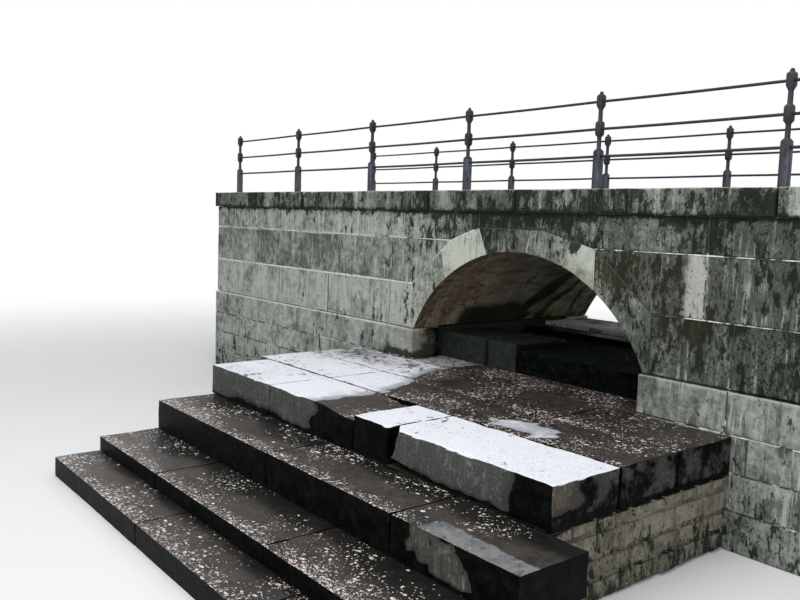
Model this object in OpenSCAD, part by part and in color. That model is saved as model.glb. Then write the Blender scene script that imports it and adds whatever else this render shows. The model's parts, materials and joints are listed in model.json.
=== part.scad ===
// Single-span stone arch bridge over a small stream, with a flagged apron, three steps down
// to the water, a weir under the arch and a cast iron railing on each side.
// X runs along the walls from the middle of the arch, Y runs through the arch from the front
// wall face, and Z is up from the flat underside of the masonry. Millimetres.

/* [Levels] */
// Height of the lowest tread above the underside
tread_3_z = 240; // [150:10:320]
// Riser between the lowest and the middle tread
riser_2_h = 180; // [120:10:260]
// Riser between the middle and the upper tread
riser_1_h = 380; // [250:10:450]
// Thickness of the apron slabs, which is also the riser up to the apron
apron_t = 400; // [250:10:500]
// Height of the plinth course above the apron, up to the springing
plinth_h = 450; // [300:10:600]

/* [Arch] */
// Clear span between the springings
arch_span = 4030; // [3600:10:4400]
// Rise from the springing to the crown
arch_rise = 1250; // [1100:10:1500]
// Depth of the arch ring from its curve to its outer corners
ring_depth = 425; // [360:5:480]
// Depth of the arch ring at the crown, where its top is level
key_depth = 300; // [240:5:340]
// Reach of the level top of the ring to the left of the middle
crown_left = 710; // [500:10:800]
// Reach of the level top of the ring to the right of the middle
crown_right = 450; // [300:10:800]
// Width of the seat behind the foot of the ring, up to the upright joint
foot_seat = 65; // [40:5:120]
// Width of a mortar joint between two arch stones
ring_joint = 10; // [6:1:16]
// How far the mortar lies back from the faces of the arch stones
joint_recess = 12; // [5:1:30]
// How far the barrel vault lies back above the curve of the ring
vault_recess = 30; // [15:5:60]
// Thickness of the barrel vault
vault_t = 300; // [220:10:360]
// How far the plinth stones reach into the opening past the foot of the ring
impost_proud = 35; // [15:5:60]
// How far the plinth course stands out from the wall face
plinth_out = 40; // [20:5:80]

/* [Walls] */
// Half of the length of the walls and of the coping
half_length = 8550; // [8200:50:9500]
// Distance from the front wall face to the rear wall face
bridge_width = 4080; // [3600:20:4800]
// Thickness of the side walls and of the arch rings
wall_t = 500; // [420:10:600]
// Height of the course under the coping
top_course_h = 410; // [340:10:480]
// Height of the masonry between the crown of the ring and the coping
crown_cover = 220; // [180:10:320]
// Thickness of the abutments behind the opening
abutment_t = 700; // [500:10:1000]

/* [Coping and footway] */
// Height of the coping stones
coping_h = 300; // [220:10:360]
// How far the coping overhangs the wall face
coping_out = 70; // [40:5:120]
// Bevel on the outer top edge of the coping
coping_bevel = 20; // [5:1:40]
// Number of coping stones on each side
coping_count = 10; // [8:1:14]
// Width of the open joints between coping stones and between slabs
stone_joint = 8; // [5:1:14]
// Thickness of the footway
footway_t = 180; // [120:10:240]
// How far the middle of the footway lies below the top of the coping
footway_drop = 60; // [30:5:100]
// How much lower the footway is at its edges, so that it sheds rain
footway_camber = 45; // [10:5:70]

/* [Apron and steps] */
// Reach of the front row of the apron to the left of the middle of the arch
apron_left = 3000; // [2700:10:3300]
// How far the two rows behind it run on to the left
rear_rows_extra = 280; // [50:10:400]
// Reach of the apron to the right of the middle of the arch
apron_right = 3150; // [2800:10:3400]
// Reach of the apron in front of the wall face
apron_reach = 2800; // [2500:10:3200]
// Depth of the front row of apron slabs
front_row_d = 920; // [750:10:1050]
// Depth of the middle row of apron slabs
middle_row_d = 890; // [700:10:1000]
// Width of the wide joint behind the front row
row_gap = 22; // [8:1:35]
// Depth that the overflow has worn into the second slab
wear_depth = 45; // [20:1:70]
// Half of the width of that worn channel
wear_half_w = 480; // [300:10:600]
// Place of the middle of the worn channel
wear_x = 280; // [100:10:350]
// Left end of the long slab at the right of the front row, at its joint
long_slab_x = 980; // [950:10:1100]
// Width of the corner broken off at its left front end, along the front edge
corner_break_w = 200; // [60:5:260]
// Depth of that broken corner, along the joint
corner_break_d = 170; // [60:5:260]
// Lean of the broken face, from the upright
corner_lean = 13; // [0:1:20]
// Length of the piece broken off under that slab, from its left end
foot_break_w = 700; // [300:10:900]
// How far that piece reached back from the front face
foot_break_d = 250; // [100:10:400]
// Height of that piece
foot_break_h = 90; // [40:5:140]
// Reach of the steps to the left of the middle of the arch
step_left = 2950; // [2600:10:3000]
// Depth of the upper tread
tread_1_d = 800; // [600:10:950]
// Depth of the middle tread
tread_2_d = 770; // [600:10:950]
// Depth of the lowest tread
tread_3_d = 550; // [400:10:750]
// How far a step stone runs on under the next one up
step_lap = 120; // [60:10:200]
// Reach of the steps to the right of the middle of the arch
step_right = 3550; // [3400:10:3800]

/* [Weir] */
// Distance from the front wall face to the face of the weir
weir_y = 600; // [560:10:750]
// Height of the weir blocks above the apron
weir_h = 390; // [320:10:440]
// Height of the sill that the water runs over
sill_h = 300; // [240:10:310]
// Depth of the weir blocks
weir_d = 1100; // [900:10:1300]
// Depth of the sill
sill_d = 500; // [350:10:700]
// Length of the left weir block
weir_left_w = 960; // [800:10:1100]
// Length of the middle weir block
weir_middle_w = 610; // [500:10:800]
// Radius of the worn corner of the middle weir block
weir_corner_r = 160; // [60:10:220]
// Open joint between the two weir blocks
weir_gap = 45; // [20:5:80]
// How far the bed behind the sill lies below the top of the sill
bed_drop = 20; // [10:5:60]
// Depth of the raised slab across the rear opening, from the rear wall face inwards
threshold_d = 1080; // [900:10:1250]
// Height of that slab above the sill
threshold_rise = 120; // [60:10:160]
// Depth of the lower slab in front of it
lower_slab_d = 480; // [300:10:600]

/* [Railing] */
// Distance between two posts
post_pitch = 2250; // [2100:10:2300]
// Number of posts on each side
post_count = 8; // [6:1:8]
// How far the rear posts stand to the left of the front ones
rear_shift = 490; // [0:10:520]
// Distance from the wall face to the middle of the posts
post_inset = 150; // [100:5:220]
// Height of the lowest rail above the coping
low_rail_z = 383; // [320:1:440]
// Distance between two rails
rail_pitch = 320; // [280:5:360]
// Diameter of the rails
rail_d = 32; // [25:1:38]
// Clearance around a rail in the hole of a post
rail_clearance = 0.5; // [0.3:0.1:1]
// Width of the square foot of a post
post_foot_w = 90; // [76:2:110]
// Height of the foot above the lowest rail
foot_over_rail = 90; // [60:5:110]
// Width of the square knuckles that hold the upper rails
knuckle_w = 80; // [70:2:96]
// Height of a knuckle above and below its rail
knuckle_half_h = 95; // [70:5:110]
// Diameter of the round necks between foot and knuckles
neck_d = 54; // [44:2:64]
// Height of the bevels on foot and knuckles
bevel_h = 32; // [20:2:40]
// Radius of the ball on top of a post
ball_r = 24; // [18:1:30]

/* [Hidden] */
$fn = 96;

stone = [0.45, 0.48, 0.42];
dark_stone = [0.30, 0.32, 0.27];
pale_stone = [0.66, 0.65, 0.58];
wet_stone = [0.17, 0.15, 0.13];
rubble = [0.38, 0.36, 0.31];
mortar = [0.72, 0.71, 0.66];
gravel = [0.47, 0.41, 0.33];
iron = [0.06, 0.07, 0.09];

tread_2_z = tread_3_z + riser_2_h;
tread_1_z = tread_2_z + riser_1_h;
apron_z = tread_1_z + apron_t;
springing_z = apron_z + plinth_h;
crown_z = springing_z + arch_rise;
ring_top_z = crown_z + key_depth;
coping_z = ring_top_z + crown_cover;
coping_top_z = coping_z + coping_h;
top_bed_z = coping_z - top_course_h;
footway_z = coping_top_z - footway_drop;
fill_top_z = footway_z - footway_t;

half_span = arch_span / 2;
arch_r = (half_span ^ 2 + arch_rise ^ 2) / (2 * arch_rise);
arch_cz = crown_z - arch_r;
foot_back_x = half_span + foot_seat;
back_r = arch_r + ring_depth;
back_bed_z = arch_cz + sqrt(back_r ^ 2 - foot_back_x ^ 2);
impost_x = half_span - impost_proud;
vault_r = arch_r + vault_recess;
vault_foot_x = sqrt(vault_r ^ 2 - (springing_z - arch_cz) ^ 2);
abutment_back_x = vault_foot_x + abutment_t;
shoulder_x = sqrt(back_r ^ 2 - (top_bed_z - arch_cz) ^ 2);

// Joints between the arch stones: place on the curve and place on the circle of the outer corners
ring_joints = [[-1350, -1460], [-540, -720], [170, 266], [760, 915], [1260, 1262]];
// Joints between the slabs of each row of the apron, from the front row back
row_1_joints = [-1420, 380];
row_2_joints = [-1430, 1370];
row_3_joints = [-1240, 1600];
// Joints between the stones of each step, from the upper step down
step_1_joints = [-60, 2050];
step_2_joints = [-1150, 1250];
step_3_joints = [-300, 1900];

step_1_y = -apron_reach - tread_1_d;
step_2_y = step_1_y - tread_2_d;
step_3_y = step_2_y - tread_3_d;
apron_back_left = apron_left + rear_rows_extra;
row_1_y = -apron_reach + front_row_d;
row_2_y = row_1_y + middle_row_d;

weir_top_z = apron_z + weir_h;
sill_z = apron_z + sill_h;
bed_z = sill_z - bed_drop;
threshold_z = sill_z + threshold_rise;
weir_left_end = -vault_foot_x + weir_left_w;
weir_middle_start = weir_left_end + weir_gap;
weir_middle_end = weir_middle_start + weir_middle_w;
weir_back_y = weir_y + weir_d;
threshold_y = bridge_width - threshold_d;
lower_slab_y = threshold_y - lower_slab_d;

first_post_x = -post_pitch * (post_count - 1) / 2;
mid_rail_z = low_rail_z + rail_pitch;
top_rail_z = mid_rail_z + rail_pitch;
rail_heights = [low_rail_z, mid_rail_z, top_rail_z];
foot_h = low_rail_z + foot_over_rail;
post_top_z = top_rail_z + knuckle_half_h;

// A box between two corners
module block(low, high) {
    translate(low) cube(high - low);
}

// An outline drawn in X and Z, made solid from y_from to y_to
module through(y_from, y_to) {
    translate([0, y_to, 0]) rotate([90, 0, 0]) linear_extrude(y_to - y_from) children();
}

// What stands at the front, set at the rear instead
module at_rear() {
    translate([0, bridge_width, 0]) mirror([0, 1, 0]) children();
}

module disc(r) {
    translate([0, arch_cz]) circle(r, $fn = 180);
}

// The half plane above the springing, as wide as the arch needs
module above_springing() {
    translate([-back_r, springing_z]) square([2 * back_r, back_r]);
}

// Everything inside the outer edge of the ring. It is upright at the feet and level at the
// crown, and its corners lie on the beds of the wall courses, so that the courses meet it there
module ring_outline() {
    polygon([
        [-foot_back_x, springing_z], [-foot_back_x, back_bed_z], [-shoulder_x, top_bed_z],
        [-crown_left, ring_top_z], [crown_right, ring_top_z],
        [shoulder_x, top_bed_z], [foot_back_x, back_bed_z], [foot_back_x, springing_z]
    ]);
}

module ring_face() {
    difference() {
        ring_outline();
        disc(arch_r);
    }
}

// The gaps between the arch stones, each from its place on the curve outwards
module ring_gaps() {
    for (joint = ring_joints) {
        foot = [joint[0], arch_cz + sqrt(arch_r ^ 2 - joint[0] ^ 2)];
        head = [joint[1], arch_cz + sqrt(back_r ^ 2 - joint[1] ^ 2)];
        lean = atan2(head[0] - foot[0], head[1] - foot[1]);
        translate(foot) rotate(-lean)
            translate([-ring_joint / 2, -ring_depth]) square([ring_joint, 3 * ring_depth]);
    }
}

module arch_ring() {
    color(pale_stone) through(0, wall_t) difference() {
        ring_face();
        ring_gaps();
    }
}

module ring_mortar() {
    color(mortar) through(joint_recess, wall_t) intersection() {
        ring_face();
        ring_gaps();
        difference() {
            disc(2 * back_r);
            disc(arch_r + joint_recess);
        }
    }
}

// Side wall from the ring out to one end; side is -1 for left and 1 for right
module side_wall(side) {
    color(stone) through(0, wall_t) difference() {
        translate([side < 0 ? -half_length : 0, springing_z]) square([half_length, top_bed_z - springing_z]);
        ring_outline();
    }
}

module top_course() {
    color(stone) through(0, wall_t) difference() {
        translate([-half_length, top_bed_z]) square([2 * half_length, top_course_h]);
        ring_outline();
    }
}

// Plinth course from the opening out to one end; its inner end carries the foot of the arch
module plinth(side) {
    x_in = side * impost_x;
    x_out = side * half_length;
    color(stone) block([min(x_in, x_out), -plinth_out, 0], [max(x_in, x_out), wall_t, springing_z]);
}

// An outline drawn in Y and Z, made solid from x_from to x_to
module along(x_from, x_to) {
    translate([x_from, 0, 0]) rotate([90, 0, 90]) linear_extrude(x_to - x_from) children();
}

module coping() {
    length = (2 * half_length + stone_joint) / coping_count;
    color(dark_stone) for (i = [0:coping_count - 1]) {
        x = -half_length + i * length;
        along(x, x + length - stone_joint) polygon([
            [-coping_out, coping_z], [wall_t, coping_z], [wall_t, coping_top_z],
            [-coping_out + coping_bevel, coping_top_z], [-coping_out, coping_top_z - coping_bevel]
        ]);
    }
}

module barrel_vault() {
    color(rubble) through(wall_t, bridge_width - wall_t) intersection() {
        difference() {
            disc(vault_r + vault_t);
            disc(vault_r);
        }
        above_springing();
    }
}

module abutment(side) {
    x_in = side * vault_foot_x;
    x_out = side * abutment_back_x;
    color(rubble) block(
        [min(x_in, x_out), wall_t, 0],
        [max(x_in, x_out), bridge_width - wall_t, springing_z]
    );
}

// Rubble filling from an abutment out to one end
module end_fill(side) {
    x_in = side * abutment_back_x;
    x_out = side * half_length;
    color(rubble) block(
        [min(x_in, x_out), wall_t, 0],
        [max(x_in, x_out), bridge_width - wall_t, fill_top_z]
    );
}

module crown_fill() {
    color(rubble) through(wall_t, bridge_width - wall_t) difference() {
        translate([-abutment_back_x, springing_z]) square([2 * abutment_back_x, fill_top_z - springing_z]);
        disc(vault_r + vault_t);
    }
}

module footway() {
    edge_z = footway_z - footway_camber;
    middle = bridge_width / 2;
    color(gravel) along(-half_length, half_length) polygon([
        [wall_t, fill_top_z], [bridge_width - wall_t, fill_top_z], [bridge_width - wall_t, edge_z],
        [middle + middle / 3, footway_z], [middle - middle / 3, footway_z], [wall_t, edge_z]
    ]);
}

// The stream bed between the plinths and the abutments, from y_from to y_to
module bed_layer(y_from, y_to, z_from, z_to) {
    translate([0, 0, z_from]) linear_extrude(z_to - z_from) intersection() {
        union() {
            translate([-impost_x, -plinth_out]) square([2 * impost_x, bridge_width + 2 * plinth_out]);
            translate([-vault_foot_x, wall_t]) square([2 * vault_foot_x, bridge_width - 2 * wall_t]);
        }
        translate([-half_length, y_from]) square([2 * half_length, y_to - y_from]);
    }
}

module arch_foundation() {
    color(rubble) bed_layer(-plinth_out, bridge_width + plinth_out, 0, tread_1_z);
}

module arch_floor() {
    color(wet_stone) bed_layer(-plinth_out, weir_y, tread_1_z, apron_z);
}

module apron_foundation() {
    color(rubble) linear_extrude(tread_1_z) polygon([
        [-apron_left, -apron_reach], [apron_right, -apron_reach], [apron_right, -plinth_out],
        [-apron_back_left, -plinth_out], [-apron_back_left, row_1_y], [-apron_left, row_1_y]
    ]);
}

// The stepped mass under the steps
module step_foundation() {
    y_3 = step_2_y + step_lap;
    y_2 = step_1_y + step_lap;
    color(rubble) along(-step_left, step_right) polygon([
        [y_3, 0], [y_3, tread_3_z], [y_2, tread_3_z], [y_2, tread_2_z],
        [-apron_reach, tread_2_z], [-apron_reach, 0]
    ]);
}

// A row of stones from one corner to the opposite one, with open joints at the given places
module stone_row(low, high, joints) {
    edges = concat([low[0] - stone_joint / 2], joints, [high[0] + stone_joint / 2]);
    for (i = [0:len(edges) - 2]) {
        block(
            [edges[i] + stone_joint / 2, low[1], low[2]],
            [edges[i + 1] - stone_joint / 2, high[1], high[2]]
        );
    }
}

module apron_back_row() {
    color(dark_stone) stone_row(
        [-apron_back_left, row_2_y, tread_1_z], [apron_right, -plinth_out, apron_z], row_3_joints
    );
}

module apron_middle_row() {
    color(pale_stone) stone_row(
        [-apron_back_left, row_1_y, tread_1_z],
        [apron_right, row_2_y - stone_joint, apron_z],
        row_2_joints
    );
}

module apron_front_row() {
    low = [-apron_left, -apron_reach, tread_1_z];
    high = [long_slab_x - stone_joint, row_1_y - row_gap, apron_z];
    color(pale_stone) {
        difference() {
            stone_row(low, high, row_1_joints);
            worn_channel(row_1_joints[0], row_1_joints[1]);
        }
        long_slab();
    }
}

// The shallow dish that the overflow has worn across a slab, between its two ends
module worn_channel(x_from, x_to) {
    r = (wear_half_w ^ 2 + wear_depth ^ 2) / (2 * wear_depth);
    intersection() {
        translate([wear_x, row_1_y, apron_z - wear_depth + r]) rotate([90, 0, 0])
            cylinder(r = r, h = front_row_d + 2, $fn = 360);
        block([x_from, -apron_reach - 1, tread_1_z], [x_to, row_1_y, apron_z + 1]);
    }
}

// The long slab at the right of the front row, broken at its left front end
module long_slab() {
    difference() {
        block([long_slab_x, -apron_reach, tread_1_z], [apron_right, row_1_y - row_gap, apron_z]);
        broken_corner();
        broken_foot();
    }
}

// All that lies in front of a leaning face across the left front corner of the long slab
module broken_corner() {
    translate([long_slab_x, -apron_reach + corner_break_d, apron_z])
        rotate([-corner_lean, 0, -atan2(corner_break_d, corner_break_w)])
            translate([-apron_t, -2 * apron_t, -2 * apron_t])
                cube([3 * apron_t, 2 * apron_t, 3 * apron_t]);
}

// The wedge that is gone from under the left part of the long slab
module broken_foot() {
    through(-apron_reach - 1, -apron_reach + foot_break_d) polygon([
        [long_slab_x - 1, tread_1_z - 1], [long_slab_x + foot_break_w, tread_1_z - 1],
        [long_slab_x + foot_break_w / 2, tread_1_z + foot_break_h / 3],
        [long_slab_x - 1, tread_1_z + foot_break_h]
    ]);
}

module upper_step() {
    color(wet_stone) stone_row(
        [-step_left, step_1_y, tread_2_z], [step_right, -apron_reach, tread_1_z], step_1_joints
    );
}

module middle_step() {
    color(wet_stone) stone_row(
        [-step_left, step_2_y, tread_3_z], [step_right, step_1_y + step_lap, tread_2_z], step_2_joints
    );
}

module lower_step() {
    color(wet_stone) stone_row(
        [-step_left, step_3_y, 0], [step_right, step_2_y + step_lap, tread_3_z], step_3_joints
    );
}

module weir_sill() {
    color(wet_stone) block([weir_middle_end, weir_y, tread_1_z], [vault_foot_x, weir_y + sill_d, sill_z]);
}

module weir_left_block() {
    color(dark_stone) block([-vault_foot_x, weir_y, tread_1_z], [weir_left_end, weir_back_y, weir_top_z]);
}

module weir_middle_block() {
    color(dark_stone) translate([0, 0, tread_1_z]) linear_extrude(weir_top_z - tread_1_z) difference() {
        translate([weir_middle_start, weir_y]) square([weir_middle_w, weir_d]);
        translate([weir_middle_end, weir_y]) worn_corner(weir_corner_r);
    }
}

// What is worn off a corner that points to the right and the front
module worn_corner(r) {
    difference() {
        translate([-r, 0]) square(r);
        translate([-r, r]) circle(r);
    }
}

module upper_bed() {
    color(wet_stone) difference() {
        bed_layer(weir_y + sill_d, lower_slab_y, tread_1_z, bed_z);
        block([-half_length, 0, 0], [weir_middle_end, weir_back_y, coping_z]);
    }
}

module lower_slab() {
    color(wet_stone) bed_layer(lower_slab_y, threshold_y, tread_1_z, sill_z + threshold_rise / 2);
}

module rear_threshold() {
    color(stone) bed_layer(threshold_y, bridge_width + plinth_out, tread_1_z, threshold_z);
}

// Right-hand side outline of the square foot, from the coping up to the neck
function foot_side() = [[post_foot_w / 2, 0], [post_foot_w / 2, foot_h - bevel_h], [neck_d / 2, foot_h]];

// Right-hand side outline of a square knuckle around the rail at height z
function knuckle_side(z) = [
    [neck_d / 2, z - knuckle_half_h],
    [knuckle_w / 2, z - knuckle_half_h + bevel_h],
    [knuckle_w / 2, z + knuckle_half_h - bevel_h],
    [neck_d / 2, z + knuckle_half_h]
];

// A square bar that has the same side outline from all four sides
module square_bar(side) {
    other_side = [for (i = [len(side) - 1:-1:0]) [-side[i][0], side[i][1]]];
    intersection() {
        translate([0, post_foot_w, 0]) rotate([90, 0, 0])
            linear_extrude(2 * post_foot_w) polygon(concat(side, other_side));
        translate([-post_foot_w, 0, 0]) rotate([90, 0, 90])
            linear_extrude(2 * post_foot_w) polygon(concat(side, other_side));
    }
}

module post() {
    difference() {
        union() {
            square_bar(foot_side());
            square_bar(knuckle_side(mid_rail_z));
            square_bar(knuckle_side(top_rail_z));
            cylinder(d = neck_d, h = post_top_z, $fn = 32);
            translate([0, 0, post_top_z]) sphere(ball_r, $fn = 32);
        }
        for (z = rail_heights) {
            translate([-post_foot_w, 0, z]) rotate([0, 90, 0])
                cylinder(d = rail_d + 2 * rail_clearance, h = 2 * post_foot_w, $fn = 32);
        }
    }
}

module posts(shift) {
    color(iron) for (i = [0:post_count - 1]) {
        translate([first_post_x + i * post_pitch + shift, post_inset, coping_top_z]) post();
    }
}

module rails(shift) {
    length = (post_count - 1) * post_pitch + post_foot_w;
    color(iron) for (z = rail_heights) {
        translate([first_post_x - post_foot_w / 2 + shift, post_inset, coping_top_z + z])
            rotate([0, 90, 0]) cylinder(d = rail_d, h = length, $fn = 32);
    }
}

plinth(-1);  // front_plinth_left
plinth(1);  // front_plinth_right
at_rear() plinth(-1);  // rear_plinth_left
at_rear() plinth(1);  // rear_plinth_right
side_wall(-1);  // front_wall_left
side_wall(1);  // front_wall_right
at_rear() side_wall(-1);  // rear_wall_left
at_rear() side_wall(1);  // rear_wall_right
top_course();  // front_top_course
at_rear() top_course();  // rear_top_course
coping();  // front_coping
at_rear() coping();  // rear_coping
arch_ring();  // front_arch_ring
ring_mortar();  // front_ring_mortar
at_rear() arch_ring();  // rear_arch_ring
at_rear() ring_mortar();  // rear_ring_mortar
barrel_vault();
abutment(-1);  // left_abutment
abutment(1);  // right_abutment
end_fill(-1);  // left_fill
crown_fill();
end_fill(1);  // right_fill
footway();
arch_foundation();
apron_foundation();
step_foundation();
arch_floor();
apron_back_row();
apron_middle_row();
apron_front_row();
upper_step();
middle_step();
lower_step();
weir_sill();
weir_left_block();
weir_middle_block();
upper_bed();
lower_slab();
rear_threshold();
posts(0);  // front_posts
at_rear() posts(-rear_shift);  // rear_posts
rails(0);  // front_rails
at_rear() rails(-rear_shift);  // rear_rails
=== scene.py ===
import json
import math
import random
from itertools import pairwise

import bpy
import bmesh
from mathutils import Matrix, Vector, noise


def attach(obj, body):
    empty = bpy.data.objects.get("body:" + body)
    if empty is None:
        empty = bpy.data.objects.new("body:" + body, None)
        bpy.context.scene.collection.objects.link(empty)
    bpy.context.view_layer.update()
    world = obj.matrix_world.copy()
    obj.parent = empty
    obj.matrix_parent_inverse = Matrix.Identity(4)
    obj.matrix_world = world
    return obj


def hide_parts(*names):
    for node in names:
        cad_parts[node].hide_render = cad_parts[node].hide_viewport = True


# Stone arch bridge. Metres, in the part's own frame: X along the walls, Y through the arch, Z up.

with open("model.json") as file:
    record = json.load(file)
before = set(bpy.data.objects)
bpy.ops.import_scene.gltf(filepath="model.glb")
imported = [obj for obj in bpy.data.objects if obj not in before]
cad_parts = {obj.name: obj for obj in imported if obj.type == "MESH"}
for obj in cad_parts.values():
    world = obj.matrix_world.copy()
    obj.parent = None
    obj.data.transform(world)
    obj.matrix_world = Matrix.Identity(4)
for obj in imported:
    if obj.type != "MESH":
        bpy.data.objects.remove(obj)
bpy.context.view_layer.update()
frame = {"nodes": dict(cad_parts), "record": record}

# Levels from the underside up, as in the part's source
BASE_Z = 0.8
APRON_Z = 1.2
SPRINGING_Z = 1.65
LOWER_BED_Z = 2.331
UPPER_BED_Z = 3.01
RING_TOP_Z = 3.2
COPING_Z = 3.42
COPING_TOP_Z = 3.72
PATH_Z = 3.48
PLINTH_BEDS = (0.0, 0.42, 0.81, APRON_Z, SPRINGING_Z)

# Walls and arch
HALF_LENGTH = 8.55
WIDTH = 4.08
MIDDLE_Y = WIDTH / 2
WALL_T = 0.5
PLINTH_OUT = 0.04
COPING_OUT = 0.07
COPING_STONES = 10
IMPOST_X = 1.98
HALF_SPAN = 2.015
ARCH_R = 2.2491
ARCH_CZ = 0.6509
FOOT_BACK_X = 2.08
SHOULDER_X = 1.2592
CROWN_LEFT = 0.71
CROWN_RIGHT = 0.45
VAULT_R = 2.2791
VAULT_FOOT_X = 2.0483
ABUTMENT_T = 0.7
RING_OUTLINE = ((-FOOT_BACK_X, LOWER_BED_Z), (-SHOULDER_X, UPPER_BED_Z), (-CROWN_LEFT, RING_TOP_Z),
                (CROWN_RIGHT, RING_TOP_Z), (SHOULDER_X, UPPER_BED_Z), (FOOT_BACK_X, LOWER_BED_Z))

# X of each joint of the ring on the arc, and on a wider arc this far outside it
RING_DEPTH = 0.425
RING_JOINTS = ((-1.35, -1.46), (-0.54, -0.72), (0.17, 0.266), (0.76, 0.915), (1.26, 1.262))

# Apron, steps and weir. WORN_SLAB holds both edges of the slab in the front row that is worn hollow.
APRON_Y = -2.8
ROW_1_Y = -1.88
ROW_2_Y = -0.99
APRON_LEFT = -3.0
APRON_BACK_LEFT = -3.28
APRON_RIGHT = 3.15
WORN_SLAB = (-1.42, 0.38)
LONG_SLAB_X = 0.98
STEP_LEFT = -2.954
STEP_RIGHT = 3.554
MIDDLE_STEP_Z = 0.42
LOWER_STEP_Z = 0.24
NOSINGS = {BASE_Z: -3.6, MIDDLE_STEP_Z: -4.37, LOWER_STEP_Z: -4.92}
MIDDLE_STEP_BACK = -3.48
LOWER_STEP_BACK = -4.25
SILL_X = -0.4333
WEIR_GAP = (-1.0883, -1.0433)

# Weir, bed and threshold, from front to back, and how high each of them stands
WEIR_Y = 0.6
SILL_BACK_Y = 1.1
WEIR_BACK_Y = 1.7
BED_JOINT_Y = 1.8
BED_BACK_Y = 2.52
THRESHOLD_Y = 3.0
SILL_Z = 1.5
WEIR_Z = 1.59
BED_Z = 1.479
LOWER_SLAB_Z = 1.56
THRESHOLD_Z = 1.619

# Width of a joint between two stones, and half of it
JOINT = 0.008
GAP = JOINT / 2

# Places of the upright joints, from the middle of the arch outwards, or from left to right
PLINTH_JOINTS = ((3.1, 4.7, 6.0, 7.3), (2.7, 3.9, 5.3, 6.9), (3.3, 4.5, 6.2, 7.5), (3.05, 4.6, 6.15, 7.6))
LOWER_JOINTS = {-1: (2.62, 4.35, 6.0, 7.4), 1: (3.05, 4.7, 6.1, 7.5)}
UPPER_JOINTS = {-1: (2.58, 4.9, 6.7), 1: (2.70, 4.35, 5.9, 7.3)}
TOP_JOINTS = (-7.2, -5.66, -3.95, -2.3, -0.71, 0.95, 2.7, 4.4, 6.0, 7.4)
SIDES = ((-1, "left"), (1, "right"))

# Where the camera stands and which way it looks, solved from the straight edges in the photo
CAMERA_PLACE = (7.271, -7.781, 3.295)
CAMERA_RIGHT = (0.62602, 0.77915, 0.03204)
CAMERA_DOWN = (0.09808, -0.03791, -0.99445)
CAMERA_AHEAD = (-0.77361, 0.62570, -0.10015)
CAMERA_LENS = 36.47


def make_camera():
    data = bpy.data.cameras.new("camera")
    data.sensor_width = 36.0
    data.lens = CAMERA_LENS
    data.clip_end = 200.0
    cam = bpy.data.objects.new("camera", data)
    rows = zip(CAMERA_RIGHT, CAMERA_DOWN, CAMERA_AHEAD, CAMERA_PLACE)
    turned = [(right, -down, -ahead, place) for right, down, ahead, place in rows]
    cam.matrix_world = Matrix([*turned, (0, 0, 0, 1)])
    bpy.context.scene.collection.objects.link(cam)
    bpy.context.scene.camera = cam


class Nodes:
    """Short names for the nodes of one tree. A value may be a number, a tuple or another node's socket."""

    def __init__(self, tree):
        self.tree = tree

    def add(self, kind, inputs=(), **settings):
        node = self.tree.nodes.new(kind)
        for key, value in settings.items():
            setattr(node, key, value)
        for key, value in dict(inputs).items():
            self.put(value, node.inputs[key])
        return node

    def put(self, value, socket):
        if isinstance(value, bpy.types.NodeSocket):
            self.tree.links.new(value, socket)
        else:
            socket.default_value = value

    def math(self, operation, a, b=0.0, clamp=False):
        return self.add("ShaderNodeMath", {0: a, 1: b}, operation=operation, use_clamp=clamp).outputs[0]

    def plus(self, a, b):
        return self.math("ADD", a, b)

    def times(self, a, b):
        return self.math("MULTIPLY", a, b)

    def seen(self):
        """1 where the camera or a glossy surface looks, and 0 for the light that falls on things."""
        path = self.add("ShaderNodeLightPath").outputs
        return self.math("MAXIMUM", path["Is Camera Ray"], path["Is Glossy Ray"])


def make_lights():
    world = bpy.data.worlds.new("studio")
    world.use_nodes = True
    world.node_tree.nodes.clear()
    s = Nodes(world.node_tree)
    soft = s.add("ShaderNodeBackground", {"Color": (0.96, 0.98, 1.0, 1), "Strength": 0.62})
    white = s.add("ShaderNodeBackground", {"Color": (1, 1, 1, 1), "Strength": 1.0})
    both = s.add("ShaderNodeMixShader", {0: s.seen(), 1: soft.outputs[0], 2: white.outputs[0]})
    s.add("ShaderNodeOutputWorld", {"Surface": both.outputs[0]})
    bpy.context.scene.world = world

    for name, place, target, size, power in (
        ("overhead", (1.0, -6.0, 13.0), (0.0, 0.5, 0.5), 12.0, 1080.0),
        ("side", (12.0, -10.0, 6.0), (0.0, 0.0, 2.0), 6.0, 520.0),
    ):
        light = bpy.data.lights.new(name, "AREA")
        light.shape = "SQUARE"
        light.size = size
        light.energy = power
        lamp = bpy.data.objects.new(name, light)
        lamp.location = place
        lamp.rotation_euler = (Vector(target) - Vector(place)).to_track_quat("-Z", "Y").to_euler()
        bpy.context.scene.collection.objects.link(lamp)


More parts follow.
